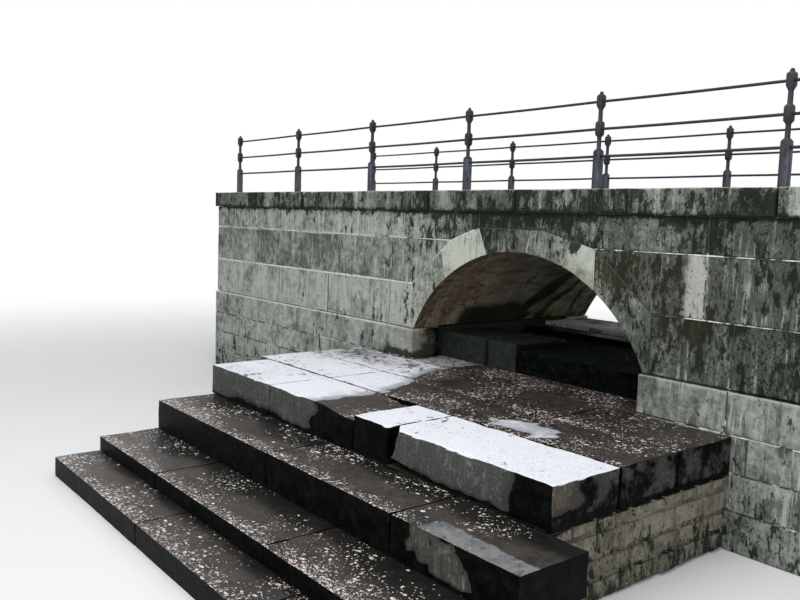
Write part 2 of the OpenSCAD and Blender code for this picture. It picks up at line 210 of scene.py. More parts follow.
def make_floor():
    """A pale floor that keeps the shadow near the bridge and runs out into the white round it."""
    half, level = 90, -0.002
    mesh = bpy.data.meshes.new("floor")
    corners = [(-half, -half, level), (half, -half, level), (half, half, level), (-half, half, level)]
    mesh.from_pydata(corners, [], [(0, 1, 2, 3)])
    floor = bpy.data.objects.new("floor", mesh)
    bpy.context.scene.collection.objects.link(floor)
    s = Shade("floor")
    s.bsdf.inputs["Base Color"].default_value = (0.8, 0.8, 0.8, 1)
    s.bsdf.inputs["Roughness"].default_value = 0.95
    away = s.add("ShaderNodeVectorMath", {0: s.coords}, operation="LENGTH").outputs["Value"]
    far = s.times(s.step(away, 8.0, 24.0), s.seen())
    white = s.add("ShaderNodeEmission", {"Color": (1, 1, 1, 1), "Strength": 1.0})
    both = s.add("ShaderNodeMixShader", {0: far, 1: s.bsdf.outputs[0], 2: white.outputs[0]})
    s.put(both.outputs[0], s.tree.nodes["Material Output"].inputs["Surface"])
    mesh.materials.append(s.material)


# Materials. A colour is written as an eye reads it, red, green and blue from 0 to 255.

class Shade(Nodes):
    """One procedural material. Its colour is built up in layers by paint."""

    def __init__(self, name):
        self.colour = None
        self.material = bpy.data.materials.new(name)
        self.material.use_nodes = True
        super().__init__(self.material.node_tree)
        self.bsdf = self.tree.nodes["Principled BSDF"]
        self.coords = self.add("ShaderNodeTexCoord").outputs["Object"]
        # Coordinates that jump from stone to stone, so that no pattern runs on across a joint
        tint = self.mask("tint")
        shift = self.add("ShaderNodeCombineXYZ", enumerate(self.times(tint, k) for k in (31.0, 17.0, 23.0)))
        self.own = self.sum_of(self.coords, shift.outputs[0])

    def mask(self, name):
        """A value that the mesh carries at each of its points."""
        return self.add("ShaderNodeAttribute", attribute_name=name).outputs["Fac"]

    def sum_of(self, a, b):
        return self.add("ShaderNodeVectorMath", {0: a, 1: b}, operation="ADD").outputs[0]

    def ragged(self, coords, scale, amount):
        """Coordinates pushed about a little, for shapes with an uneven outline."""
        push = self.add("ShaderNodeTexNoise", {"Scale": scale, "Vector": coords}).outputs["Color"]
        push = self.add("ShaderNodeVectorMath", {0: push, "Scale": amount}, operation="SCALE").outputs[0]
        return self.sum_of(coords, push)

    def stretched(self, coords, stretch, shift):
        place = (shift, shift * 1.7, shift * 0.6)
        inputs = {"Scale": stretch, "Location": place, "Vector": coords or self.coords}
        return self.add("ShaderNodeMapping", inputs).outputs[0]

    def noise(self, scale, detail=5.0, rough=0.6, stretch=(1, 1, 1), shift=0.0, coords=None):
        place = self.stretched(coords, stretch, shift)
        inputs = {"Scale": scale, "Detail": detail, "Roughness": rough, "Vector": place}
        return self.add("ShaderNodeTexNoise", inputs).outputs["Fac"]

    def cells(self, scale, stretch=(1, 1, 1), shift=0.0, feature="F1", coords=None):
        inputs = {"Scale": scale, "Vector": self.stretched(coords, stretch, shift)}
        return self.add("ShaderNodeTexVoronoi", inputs, feature=feature).outputs

    def spread(self, value, amount):
        """Pulls a pattern that is a mean of several apart again, round its middle."""
        return self.plus(self.times(self.math("SUBTRACT", value, 0.5), amount), 0.5)

    def total(self, *weighted):
        """Adds up sockets, each with its weight."""
        result = 0.0
        for socket, weight in weighted:
            result = self.plus(self.times(socket, weight), result)
        return result

    def step(self, value, low, high, top=1.0):
        """0 below low, top above high, smooth between them."""
        inputs = {"Value": value, "From Min": low, "From Max": high, "To Max": top}
        return self.add("ShaderNodeMapRange", inputs, interpolation_type="SMOOTHSTEP").outputs[0]

    def mix(self, share, a, b):
        """Colour a where the share is 0, and colour b where it is 1."""
        a, b = (linear(*c) if isinstance(c, tuple) else c for c in (a, b))
        inputs = {"Factor": share, "A": a, "B": b}
        return self.add("ShaderNodeMix", inputs, data_type="RGBA").outputs["Result"]

    def paint(self, share, colour):
        """Covers this share of the surface with a colour."""
        self.colour = self.mix(share, self.colour, colour)

    def grown(self, mask, pattern, soft=0.12, top=1.0):
        """Covers the share of the surface that the mask says, in patches of the pattern's shape."""
        level = self.math("SUBTRACT", 0.78, self.times(mask, 0.56))
        return self.times(self.step(pattern, level, self.plus(level, soft)), self.step(mask, 0.0, 0.08, top))

    def finish(self, rough, height, distance, strength=1.0):
        self.put(self.colour, self.bsdf.inputs["Base Color"])
        self.put(rough, self.bsdf.inputs["Roughness"])
        bump = self.add("ShaderNodeBump", {"Strength": strength, "Distance": distance, "Height": height})
        self.put(bump.outputs[0], self.bsdf.inputs["Normal"])
        return self.material


def linear(*colour):
    """The linear colour that a shader takes."""
    return *(((c / 255 + 0.055) / 1.055) ** 2.4 if c > 10 else c / 255 / 12.92 for c in colour), 1.0


def lime_render(s, mottle, fine):
    """Old lime render on the barrel: red-brown and cracked near the front, greenish and dark inside."""
    cloud = s.noise(1.5, 6, 0.65)
    s.colour = s.mix(s.step(cloud, 0.34, 0.66), (108, 104, 90), (160, 154, 134))
    s.paint(s.step(mottle, 0.5, 0.72, 0.5), (176, 168, 146))
    s.paint(s.step(s.noise(1.0, 5, 0.65, (5, 1.2, 5), 2.0), 0.46, 0.36, 0.55), (74, 70, 56))
    rust = s.mask("rust")
    brown = s.times(rust, s.step(s.noise(4.4, 7, 0.72, shift=5.0), 0.42, 0.58, 0.85))
    s.paint(brown, s.mix(s.step(mottle, 0.4, 0.65), (84, 67, 52), (152, 130, 104)))
    s.paint(s.times(rust, s.step(s.noise(1.9, 4, 0.5, shift=11.0), 0.54, 0.64, 0.28)), (126, 76, 64))
    green = s.grown(s.mask("moss"), s.noise(1.0, 6, 0.7, (4.5, 1.4, 4.5), 3.0), 0.16, 0.8)
    # Lighter algae where the tone is high; in the barrel that tone is painted light.
    algae = s.mix(s.step(s.mask("tone"), 0.2, 0.8), (78, 84, 52), (128, 132, 82))
    s.paint(green, s.mix(s.step(fine, 0.4, 0.6), s.mix(0.5, algae, (30, 36, 20)), algae))
    s.paint(s.step(s.total((s.mask("wet"), 1.0), (mottle, 0.5)), 0.5, 1.0, 0.95), (15, 19, 12))
    crack = s.cells(2.6, (1, 1.4, 1), 1.0, "DISTANCE_TO_EDGE", s.ragged(s.coords, 3.0, 0.25))
    line = s.times(s.step(crack["Distance"], 0.03, 0.004), s.step(cloud, 0.45, 0.6))
    s.paint(line, (34, 30, 24))
    return line


# Loose bits by size: scale, stretch and shift of their cells, and how much of a cell a bit fills
LITTER = ((11.0, (1, 1.8, 1), 2.7, 0.34), (17.0, (1.7, 1, 1), 5.1, 0.34), (30.0, (1, 1.5, 1), 8.3, 0.34),
          (56.0, (1, 1, 1), 1.1, 0.35))


def littered(s):
    """Pale loose bits on the wet stone, some of them near white as painted glints: the mask says how closely
    they lie.
    """
    uneven = s.ragged(s.coords, 17.0, 0.035)
    chance = s.math("SUBTRACT", 1.0, s.times(s.mask("litter"), 0.7))
    cover = 0.0
    for scale, stretch, shift, size in LITTER:
        bits = s.cells(scale, stretch, shift, coords=uneven)
        kept = s.math("GREATER_THAN", bits["Color"], chance)
        cover = s.math("MAXIMUM", cover, s.times(s.step(bits["Distance"], size, size - 0.06), kept))
    kind = s.noise(9.0, 2, 0.5, shift=3.3)
    bit = s.mix(s.step(kind, 0.36, 0.48), (128, 100, 84), (196, 182, 168))
    bit = s.mix(s.step(kind, 0.58, 0.64), bit, (200, 194, 160))
    # Painted glints: some bits are near white.
    s.paint(cover, s.mix(s.step(s.noise(26.0, 2, 0.5), 0.46, 0.56), bit, (228, 222, 222)))
    return cover


def streaked(s, light, dark, drips):
    """Upright streaks of weather, pale and dark: broad ones, and narrow ones over them."""
    fading = s.step(s.noise(2.6, 4, 0.6, shift=8.8, coords=s.own), 0.36, 0.6)
    for stretch, shift in (((13, 13, 1.0), 1.3), ((34, 34, 2.6), 5.9)):
        streak = s.noise(1.0, 5, 0.64, stretch, shift, s.own)
        s.paint(s.times(s.step(streak, 0.54, 0.68, drips), fading), s.mix(0.6, light, (214, 216, 208)))
        s.paint(s.times(s.step(streak, 0.46, 0.33, drips), fading), s.mix(0.6, dark, (44, 48, 42)))


def overgrown(s, dark, growth, cloud, fine, moss, rust):
    """A thin dark film, patches of growth over it, and specks of two sizes between the patches."""
    s.paint(s.step(s.total((moss, 1.0), (cloud, 0.8)), 0.58, 1.06, 0.36), s.mix(0.55, dark, growth[0]))
    patches = s.total((s.noise(1.0, 7, 0.72, (10, 10, 4.0), 8.4), 0.7),
                      (s.noise(3.0, 4, 0.6, (1, 1, 0.5), 1.9), 0.3))
    crust = s.grown(moss, s.spread(patches, 2.2), 0.07, 0.92)
    for stretch, top, shift in (((40, 40, 27), 0.70, 6.6), ((23, 23, 12), 0.69, 9.3)):
        level = s.math("SUBTRACT", top, s.times(moss, 0.24))
        specks = s.step(s.noise(1.0, 4, 0.64, stretch, shift), level, s.plus(level, 0.035), 0.88)
        crust = s.math("MAXIMUM", crust, specks)
    shade = s.mix(s.step(s.noise(5.2, 6, 0.7, shift=6.1), 0.5, 0.68), *growth)
    shade = s.mix(s.times(rust, 0.6), shade, (70, 66, 38))
    s.paint(crust, s.mix(s.step(fine, 0.4, 0.66, 0.5), shade, (18, 22, 16)))
    return crust


def soffit_render(s, mottle, fine):
    """Bare stone under the front of the ring, and behind a red-brown edge the barrel's render."""
    soffit = s.mask("soffit")
    bare = s.mix(s.step(mottle, 0.4, 0.64), (62, 57, 46), (124, 114, 94))
    s.paint(s.step(soffit, 0.05, 0.2, 0.85), bare)
    reach = s.total((soffit, 1.0), (s.noise(5.5, 6, 0.72, shift=2.4), 0.9))
    s.paint(s.step(reach, 0.86, 0.95, 0.9), (96, 66, 50))
    stone = s.colour
    line = lime_render(s, mottle, fine)
    s.colour = s.mix(s.step(reach, 0.93, 1.0), stone, s.colour)
    return line


def wetted(s, cloud, mottle, tone, moss, wet):
    """Dark and damp, or soaked: brown or green on top, black on the sides as painted shade, and slate where
    it is clean. The tops are painted lighter than the sides.
    """
    spread = s.total((wet, 1.0), (s.noise(5.0, 6, 0.7, shift=4.9), 0.62),
                     (s.noise(1.7, 3, 0.5, shift=7.1), 0.46))
    damp = s.step(spread, 0.66, 0.92, 0.85)
    soaked = s.step(spread, 0.98, 1.08)
    facing = s.add("ShaderNodeSeparateXYZ", {0: s.add("ShaderNodeNewGeometry").outputs["Normal"]})
    upward = s.step(facing.outputs["Z"], 0.35, 0.8)
    top = s.mix(s.step(s.total((cloud, 0.5), (mottle, 0.5)), 0.38, 0.62), (20, 19, 17), (58, 50, 45))
    top = s.mix(s.step(tone, -0.3, -0.8), top, (16, 19, 17))
    green = s.mix(s.step(mottle, 0.5, 0.62), (6, 16, 6), (26, 44, 20))
    top = s.mix(s.step(moss, 0.5, 0.8, 0.9), top, green)
    # Painted shade: soaked sides are near black, darker than the tops.
    side = s.mix(s.step(mottle, 0.42, 0.66), (4, 7, 6), (20, 22, 20))
    clean = s.step(moss, 0.1, 0.02)
    slate = s.mix(s.step(mottle, 0.36, 0.66), (34, 39, 38), (52, 56, 54))
    top, side = s.mix(clean, top, slate), s.mix(clean, side, slate)
    # Painted light and shade: damp tops are a lighter bluish grey, damp sides a darker grey.
    s.paint(damp, s.mix(0.7, s.colour, s.mix(upward, (46, 48, 45), (92, 96, 104))))
    s.paint(soaked, s.mix(upward, side, top))
    return soaked, upward


def stone_material(name, light, dark, drips, grain=70.0, growth=((25, 30, 23), (56, 64, 38)),
                   render=False, litter=False):
    """Weathered dressed stone. The mesh says how light, mossy, wet, rusty or limy each place is; in places
    the lightness holds painted light and painted shade.
    """
    s = Shade(name)
    tone, moss, wet, rust, lime = (s.mask(n) for n in ("tone", "moss", "wet", "rust", "lime"))
    cloud = s.noise(1.9, 7, 0.66, (1, 1, 0.7), coords=s.own)
    mottle = s.noise(9.0, 7, 0.7, shift=3.1, coords=s.own)
    fine = s.noise(grain, 6, 0.72, shift=7.7)
    speck = s.noise(30.0, 6, 0.75, shift=2.9)

    level = s.total((s.spread(s.total((cloud, 0.55), (mottle, 0.45)), 2.1), 1.0), (tone, 0.3))
    s.colour = s.mix(s.step(level, 0.22, 0.78), dark, light)
    streaked(s, light, dark, drips)
    s.paint(s.step(speck, 0.54, 0.7, 0.3), s.mix(0.5, light, (206, 206, 198)))
    s.paint(s.step(speck, 0.45, 0.3, 0.55), s.mix(0.6, dark, (36, 38, 34)))
    s.paint(s.step(fine, 0.52, 0.3, 0.3), s.mix(0.5, s.colour, (30, 32, 28)))
    s.paint(s.times(rust, s.step(mottle, 0.36, 0.62, 0.8)), (118, 92, 62))
    s.paint(s.grown(lime, s.noise(19, 6, 0.72, (0.7, 1, 1), 2.2), 0.09, 0.85), (206, 208, 196))
    crust = overgrown(s, dark, growth, cloud, fine, moss, rust)
    line = soffit_render(s, mottle, fine) if render else None
    soaked, upward = wetted(s, cloud, mottle, tone, moss, wet)

    height = s.total((fine, 0.8), (speck, 0.9), (mottle, 0.8), (crust, 0.6), (s.times(soaked, fine), -0.5))
    if litter:
        height = s.total((height, 1.0), (littered(s), 0.6))
    if render:
        height = s.total((height, 1.0), (line, -1.0))
    slimy = s.times(soaked, s.step(moss, 0.5, 0.8))
    rough = s.total((soaked, -0.62), (s.times(soaked, mottle), 0.3), (mottle, 0.1), (slimy, 0.5))
    gloss = s.times(s.times(soaked, upward), s.step(tone, -0.9, -0.2))
    shine = s.total((gloss, 0.4), (s.math("SUBTRACT", 1.0, soaked), 0.1), (1.0, 0.03))
    s.put(shine, s.bsdf.inputs["Specular IOR Level"])
    return s.finish(s.plus(rough, 0.86), height, 0.006, 0.9)


def mortar_material():
    s = Shade("mortar")
    mottle = s.noise(16, 6, 0.7)
    fine = s.noise(90, 5, 0.7, shift=3.0)
    s.colour = s.mix(s.step(mottle, 0.36, 0.66), (186, 189, 182), (234, 236, 230))
    s.paint(s.grown(s.mask("moss"), s.noise(7.0, 6, 0.7, shift=1.5), 0.1, 0.92), (38, 43, 32))
    s.paint(s.times(s.mask("wet"), 0.9), (16, 17, 16))
    s.bsdf.inputs["Specular IOR Level"].default_value = 0.15
    return s.finish(0.95, s.plus(fine, mottle), 0.005)


def vault_material():
    s = Shade("vault_render")
    mottle = s.noise(8, 7, 0.7, shift=2.0)
    fine = s.noise(80, 5, 0.7, shift=4.0)
    line = lime_render(s, mottle, fine)
    s.bsdf.inputs["Specular IOR Level"].default_value = 0.2
    return s.finish(0.88, s.total((mottle, 1.4), (fine, 0.5), (line, -1.0)), 0.012)


def gravel_material():
    s = Shade("gravel")
    pebbles = s.cells(46.0)
    small = s.cells(120.0, shift=4.0)
    s.colour = s.mix(s.step(s.noise(0.9, 5, 0.6), 0.35, 0.65), (112, 94, 76), (146, 126, 104))
    stones = s.mix(s.step(pebbles["Color"], 0.2, 0.9), (96, 92, 84), (178, 168, 152))
    s.paint(s.step(pebbles["Distance"], 0.5, 0.32, 0.75), stones)
    s.paint(s.step(small["Distance"], 0.45, 0.2, 0.35), (120, 110, 96))
    s.paint(s.times(s.mask("moss"), s.step(s.noise(7, 6, 0.7), 0.42, 0.62)), (62, 72, 36))
    height = s.math("SUBTRACT", 1.0, s.plus(pebbles["Distance"], s.times(small["Distance"], 0.5)))
    return s.finish(0.95, height, 0.008)


def iron_material():
    """Old black paint on cast iron, bluish where it is worn, dusty and with a painted highlight on the lit
    faces of the lower shafts, and a little rust.
    """
    s = Shade("iron")
    cloud = s.noise(7, 6, 0.7)
    fine = s.noise(160, 4, 0.6, shift=2.0)
    s.colour = s.mix(s.step(cloud, 0.38, 0.66), (13, 15, 20), (34, 38, 46))
    s.paint(s.step(fine, 0.5, 0.75, 0.25), (96, 100, 110))
    # Dust and painted highlight, where the posts' masks mark a lit face.
    dust_and_highlight = s.step(s.noise(12, 5, 0.7, (1, 1, 0.3), 4.0), 0.36, 0.56, 0.75)
    s.paint(s.times(s.mask("tone"), dust_and_highlight), (86, 92, 104))
    spots = s.step(s.noise(26, 6, 0.7, shift=6.0), 0.6, 0.7)
    rust = s.math("MULTIPLY", spots, s.plus(0.35, s.mask("rust")), True)
    s.paint(rust, s.mix(s.step(fine, 0.4, 0.6), (72, 44, 32), (104, 66, 44)))
    s.bsdf.inputs["Specular IOR Level"].default_value = 0.4
    rough = s.plus(0.42, s.times(s.plus(cloud, rust), 0.25))
    return s.finish(rough, s.plus(fine, s.times(cloud, 2.0)), 0.0012)


# Meshes. Each point carries these values, and the materials read them.
# The tone is each place's own lightness, and in places also painted light and painted shade.
MASKS = ("tint", "tone", "moss", "wet", "rust", "lime", "litter", "soffit")

# Places of the lattice lines beside an arris, from the arris inwards
ARRIS_LINES = (0.0, 0.005, 0.013, 0.028, 0.055)


def smooth(value, low, high):
    """0 at low, 1 at high, smooth between them and level beyond."""
    t = min(max((value - low) / (high - low), 0.0), 1.0)
    return t * t * (3 - 2 * t)


def near(away, wide, narrow):
    """0 where it is farther away than wide to either side, and 1 where it is nearer than narrow."""
    return smooth(abs(away), wide, narrow)


def between(a, b, share):
    """The point that lies this share of the way from a to b."""
    return tuple(p + (q - p) * share for p, q in zip(a, b))


def lines(length, step, plain_start, plain_end, extra=()):
    """Places of the lattice lines along a side, close together at the ends that show an arris."""
    fine = [v for v in ARRIS_LINES if v < length * 0.42]
    start = [0.0] if plain_start else fine
    end = [length] if plain_end else [length - v for v in reversed(fine)]
    count = max(1, round((end[0] - start[-1]) / step))
    places = start + [start[-1] + (end[0] - start[-1]) * i / count for i in range(1, count)] + end
    for value in extra:
        nearest = min(range(1, len(places) - 1), key=lambda i: abs(places[i] - value))
        places[nearest] = value
    return sorted(places)


def worn(p, size, plain, wave, wear, chips, rough):
    """A point of a block drawn in towards its core, and the way it faces. wave is noise of any scale."""
    chip = max(0.0, wave(4.3) - 0.12) + 0.5 * max(0.0, wave(13) - 0.2)
    r = min(0.45 * min(size), wear * (1.0 + 0.5 * wave(7)) + chips * chip)
    inside = []
    for value, length, sides in zip(p, size, plain):
        from_start, from_end = [0.0 if side else r for side in sides]
        inside.append(min(max(value, from_start), length - from_end))
    q = Vector(inside)
    n = p - q
    if n.length > 1e-6:
        n.normalize()
        deep = rough * (1.0 + wave(1.9)) + 0.4 * rough * (1.0 + wave(8))
        p = q + n * (r - deep)
    return p, n


def lattice_faces(last, plain):
    """The faces round a block's lattice, each a list of corners. A plain side is a single face."""
    for axis in range(3):
        a, b = [x for x in range(3) if x != axis]
        across, up = range(last[a]), range(last[b])
        for end in (0, 1):

            def corner(s, t):
                key = [last[axis] if end else 0] * 3
                key[a], key[b] = s, t
                return tuple(key)

            if plain[axis][end]:
                walk = [(s, 0) for s in across] + [(last[a], t) for t in up]
                walk += [(last[a] - s, last[b]) for s in across] + [(0, last[b] - t) for t in up]
                yield [corner(*at) for at in walk]
                continue
            for s in across:
                for t in up:
                    square = ((s, t), (s + 1, t), (s + 1, t + 1), (s, t + 1))
                    yield [corner(*at) for at in square]


class Pile:
    """Stones that go into one piece. The masks are a function of a place and the way it faces."""

    def __init__(self, masks=None):
        self.verts, self.faces = [], []
        self.masks = masks
        self.values = {name: [] for name in MASKS}

    def point(self, p, **seen):
        self.verts.append(p)
        for name in MASKS:
            self.values[name].append(seen.get(name, 0.0))
        return len(self.verts) - 1

    def stone(self, size, place, step=0.08, wear=0.010, chips=0.030, rough=0.004, sharp=(), seed=0.0,
              tint=None, extra=(), shape=None):
        """A worn block. sharp names the sides that stay plain, since nothing shows there: u0 to w1."""
        rng = random.Random(round(seed * 1000) + len(self.verts))
        shift = Vector((rng.uniform(-40, 40), rng.uniform(-40, 40), rng.uniform(-40, 40)))
        tint = rng.uniform(-0.8, 0.8) if tint is None else tint
        steps = step if isinstance(step, tuple) else (step, step, step)
        plain = [["uvw"[a] + end in sharp for end in "01"] for a in range(3)]
        grid = [lines(size[a], steps[a], *plain[a], () if a else extra) for a in range(3)]
        index = {}

        def point(key):
            if key not in index:
                p = Vector([places[k] for places, k in zip(grid, key)])
                at = place(p)
                p, n = worn(p, size, plain, lambda scale: noise.noise(at * scale + shift), wear, chips, rough)
                if shape:
                    p = shape(p, at)
                index[key] = self.point(place(p), **dict(self.masks(at, n), tint=tint))
            return index[key]

        for face in lattice_faces([len(places) - 1 for places in grid], plain):
            self.faces.append([point(key) for key in face])

    def block(self, low, high, flip=False, **settings):
        """A stone between two corners; flip puts it at the rear instead of the front."""
        low = Vector(low)
        seed = low.x * 3 + low.y * 7 + low.z * 11 + flip
        self.stone(Vector(high) - low, lambda p: rear(low + p) if flip else low + p, seed=seed, **settings)

    def loft(self, bottom, top, length, height, y_from, y_to, flip=False, **settings):
        """A stone between two lines in X and Z, each a function of the share of the way along."""
        def place(p):
            s = p.x / length
            x, z = between(bottom(s), top(s), p.z / height)
            at = Vector((x, y_from + p.y, z))
            return rear(at) if flip else at
        seed = bottom(0)[0] * 5 + bottom(0)[1] * 3 + flip
        self.stone(Vector((length, y_to - y_from, height)), place, seed=seed, **settings)

    def tube(self, rings, weather):
        """A closed tube through rings of points, with the weather as a function of the place."""
        start = len(self.verts)
        count = len(rings[0])
        for ring in rings:
            for p in ring:
                self.point(p, **weather(p))
        for i in range(len(rings) - 1):
            for k in range(count):
                a, b = start + i * count + k, start + i * count + (k + 1) % count
                self.faces.append([a, b, b + count, a + count])
        self.faces.append([start + k for k in range(count)])
        self.faces.append([start + (len(rings) - 1) * count + k for k in range(count)])

    def piece(self, name, slot, *nodes):
        mesh = bpy.data.meshes.new(name)
        mesh.from_pydata(self.verts, [], self.faces)
        shell = bmesh.new()
        shell.from_mesh(mesh)
        bmesh.ops.recalc_face_normals(shell, faces=shell.faces)
        shell.to_mesh(mesh)
        shell.free()
        mesh.shade_smooth()
        mesh.set_sharp_from_angle(angle=math.radians(48))
        for mask, values in self.values.items():
            mesh.attributes.new(mask, "FLOAT", "POINT").data.foreach_set("value", values)
        mesh.materials.append(MATERIALS[slot])
        made = bpy.data.objects.new(name, mesh)
        bpy.context.scene.collection.objects.link(made)
        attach(made, "root")
        if nodes:
            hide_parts(*nodes)


def rear(p):
    return Vector((p.x, WIDTH - p.y, p.z))


def on_arc(x, radius=ARCH_R):
    return ARCH_CZ + math.sqrt(radius * radius - x * x)


def ring_top(x):
    """Height of the outer edge of the ring over the place x."""
    if abs(x) >= SHOULDER_X:
        return LOWER_BED_Z + (FOOT_BACK_X - abs(x)) / (FOOT_BACK_X - SHOULDER_X) * (UPPER_BED_Z - LOWER_BED_Z)
    edge = CROWN_LEFT if x < 0 else CROWN_RIGHT
    return RING_TOP_Z - max(0.0, abs(x) - edge) / (SHOULDER_X - edge) * (RING_TOP_Z - UPPER_BED_Z)


def top_course_foot(x):
    """Height of the foot of the top course, which stands on the ring over the arch."""
    return max(UPPER_BED_Z, ring_top(x))


def along(points):
    """A function of the share of the way along a broken line, its length, and where it bends."""
    parts = list(pairwise(points))
    lengths = [math.dist(a, b) for a, b in parts]
    total = sum(lengths)

    def at(share):
        left = share * total
        for (a, b), length in zip(parts, lengths):
            if left <= length or (a, b) == parts[-1]:
                return between(a, b, min(1.0, left / length))
            left -= length
    return at, total, [sum(lengths[:i + 1]) for i in range(len(lengths) - 1)]


# Where the weather shows, and in places painted light and shade: each function gives the masks at a place p
# that faces the way n

def drift(x, z, seed, size):
    """A slow wander, so that no edge of the weather is straight."""
    return noise.noise(Vector((x * size, seed, z * size)))


def top_course_look(x, z, over, away):
    """Growth and painted shadow that hang down from the coping in one dark band, and two upright stripes of
    growth.
    """
    # Moss and painted shadow: a dark band under the coping, with a ragged lower edge.
    drip = 0.11 * max(0.0, drift(x, 0, 4.0, 7.0)) + 0.10 * max(0.0, drift(x, 0, 6.0, 2.3))
    under = (0.42 + 0.1 * over) * smooth(z, COPING_Z - 0.045 - drip, COPING_Z - 0.005 - drip)
    stripe = 0.26 * near(x - 2.75 - 0.4 * (z - 3.2), 0.22, 0.05) + 0.2 * near(x + 0.62, 0.3, 0.1)
    crown = near(x + 0.1, 1.3, 0.5)
    moss = 0.16 + 0.22 * over + 0.14 * crown + 0.05 * smooth(z, UPPER_BED_Z, COPING_Z) + under + stripe
    tone = 0.3 * (1 - over) - 0.5 * smooth(x, -1.5, 0.6) + 0.3 * near(x + 1.9, 1.0, 0.3) - 0.1 * crown
    return dict(tone=tone + (0.6 * away - 0.3) * smooth(x, 1.2, 3.0), moss=moss)


def side_wall_look(x, z, away, at_rear):
    """Pale on the left, dark and mossy on the right, with one pale upright band beside the arch."""
    haunch = smooth(math.hypot((x - 2.0) / 1.25, (z - 2.5) / 0.8), 1.1, 0.35)
    moss = 0.15 + 0.14 * smooth(x, -3.4, -2.3) * (1 - haunch) + 0.36 * haunch
    moss += 0.26 * smooth(x, 2.9, 4.5) * (1 - 0.6 * away)
    tone = 0.05 - 0.75 * smooth(x, 0.0, 1.5) - 0.9 * smooth(x, 2.7, 3.6) + 1.5 * away
    if z < LOWER_BED_Z:
        beside = near(x + 2.35, 0.34, 0.26)
        tone += 0.3 * smooth(x, 0.0, -1.0) + 0.3 * beside
        moss += 0.12 * smooth(x, 0.0, 1.5) - 0.10 * beside
    else:
        band = near(x - 2.6 + 0.04 * drift(0, z, 5.0, 5.0), 0.16, 0.08) * (not at_rear)
        tone += 1.5 * band - 0.3 * smooth(x, -1.5, -2.6)
        moss -= 0.26 * band
    return dict(tone=tone, moss=moss, rust=0.22 * haunch)


def plinth_look(p, x, z, at_rear):
    """A dark foot by the apron, and rusty imposts that turn black towards the weir, with a pale rim along the
    top that is a painted highlight.
    """
    foot = smooth(z, 1.38 + 0.08 * drift(x, p.y, 8.0, 5.0), 1.24) * smooth(z, 1.1, 1.2)
    moss = 0.20 + 0.75 * foot * smooth(x, 0.5, -1.0) * smooth(x, -3.0, -2.3) + 0.2 * smooth(z, 1.1, 0.2)
    corner = smooth(abs(x + 1.98) + 0.5 * abs(p.y + 0.04), 0.24, 0.03)
    impost = smooth(z, 1.16, 1.25) * near(x + 2.1, 0.5, 0.3) * (not at_rear)
    rust = impost * (0.45 + 0.5 * corner) * (0.7 + 0.9 * drift(x * 3, p.y * 3, 1.0, 2.0))
    wet = 0.0
    if -2.02 < x < -1.9:
        inside = smooth(p.y, 0.16 + 0.20 * drift(0, z, 6.0, 5.0), 0.34)
        moss += 0.9 * inside
        wet = 0.7 * inside
    # Painted highlight: the top rim of the plinth is paler and less mossy.
    rim = smooth(z, SPRINGING_Z - 0.035, SPRINGING_Z - 0.008)
    tone = 0.1 - 0.2 * smooth(x, 0.0, 2.0) + 0.4 * impost + 1.2 * rim
    return dict(tone=tone, moss=moss - 0.2 * rim - 0.12 * impost * (1 - foot), rust=rust, wet=wet)


def wall_masks(p, n):
    """Weather and growth on the walls: heavy over the arch and round the right haunch. Painted shadow under
    the coping, and a painted highlight on the plinth's top rim.
    """
    at_rear = p.y > MIDDLE_Y
    x, z = -p.x if at_rear else p.x, p.z
    away = max(0.6 * at_rear, smooth(x, 5.0, 7.5))
    over = smooth(x, -3.0, -1.3)
    if z > UPPER_BED_Z - 0.002:
        look = top_course_look(x, z, over, away)
    elif z > SPRINGING_Z - 0.002:
        look = side_wall_look(x, z, away, at_rear)
    else:
        look = plinth_look(p, x, z, at_rear)
    look["moss"] = max(0.0, look["moss"] + 0.16 * drift(x, z, 9.0 if at_rear else 3.0, 1.1))
    near_bed = min(abs(z - b) for b in (UPPER_BED_Z, LOWER_BED_Z, SPRINGING_Z))
    return dict(look, lime=(0.7 - 0.5 * over) * smooth(near_bed, 0.05, 0.008))


def joint_masks(p, n):
    """Whitish mortar in the beds on the left, mostly gone dark elsewhere and in the upright joints."""
    right = smooth(-p.x if p.y > MIDDLE_Y else p.x, -2.0, -0.5)
    if abs(p.z - LOWER_BED_Z) < 0.014:
        moss = 0.04 + 0.62 * right
    elif abs(p.z - UPPER_BED_Z) < 0.014:
        moss = 0.36 + 0.18 * right
    else:
        moss = 0.62 if min(abs(p.z - b) for b in PLINTH_BEDS) < 0.014 else 0.8
    return dict(moss=moss + 0.3 * drift(p.x, p.z, 5.0, 2.0))


def rim_masks(p, n):
    """The line round the arch ring: pale on the left, dark on the right."""
    return dict(moss=0.50 + 0.6 * smooth(p.x, -0.85, -0.65) + 0.4 * drift(p.x, p.z, 2.0, 2.4))


def coping_masks(p, n):
    """Dark and pale upright bands, a mossy foot, a pale top, and a painted highlight along the arris, which
    is paler and limy.
    """
    top = smooth(n.z, 0.4, 0.9)
    # Painted highlight: the arris that faces half up takes a high tone and lime.
    arris = near(n.z - 0.6, 0.35, 0.1)
    band = drift(p.x, 0.3 * p.z, 5.0, 2.6) + 0.6 * drift(p.x, 0.3 * p.z, 8.0, 6.5)
    moss = 0.42 + 0.05 * smooth(p.x, -4.5, -2.0) + 0.36 * band + 0.3 * smooth(p.z, COPING_Z + 0.07, COPING_Z)
    tone = 0.7 * top + 1.2 * arris - 0.1 - 0.5 * band * (1 - top)
    return dict(tone=tone, moss=max(0.2, moss) * (1 - 0.5 * top) * (1 - 0.8 * arris), lime=0.45 * arris)


# Tone, moss and tint of the six stones of the front ring, from left to right
RING_LOOK = ((0.0, 0.32, -0.1), (0.7, 0.09, 0.5), (-0.5, 0.42, -0.3), (-0.4, 0.36, 0.0), (0.5, 0.14, 0.6),
             (-0.6, 0.44, -0.2))


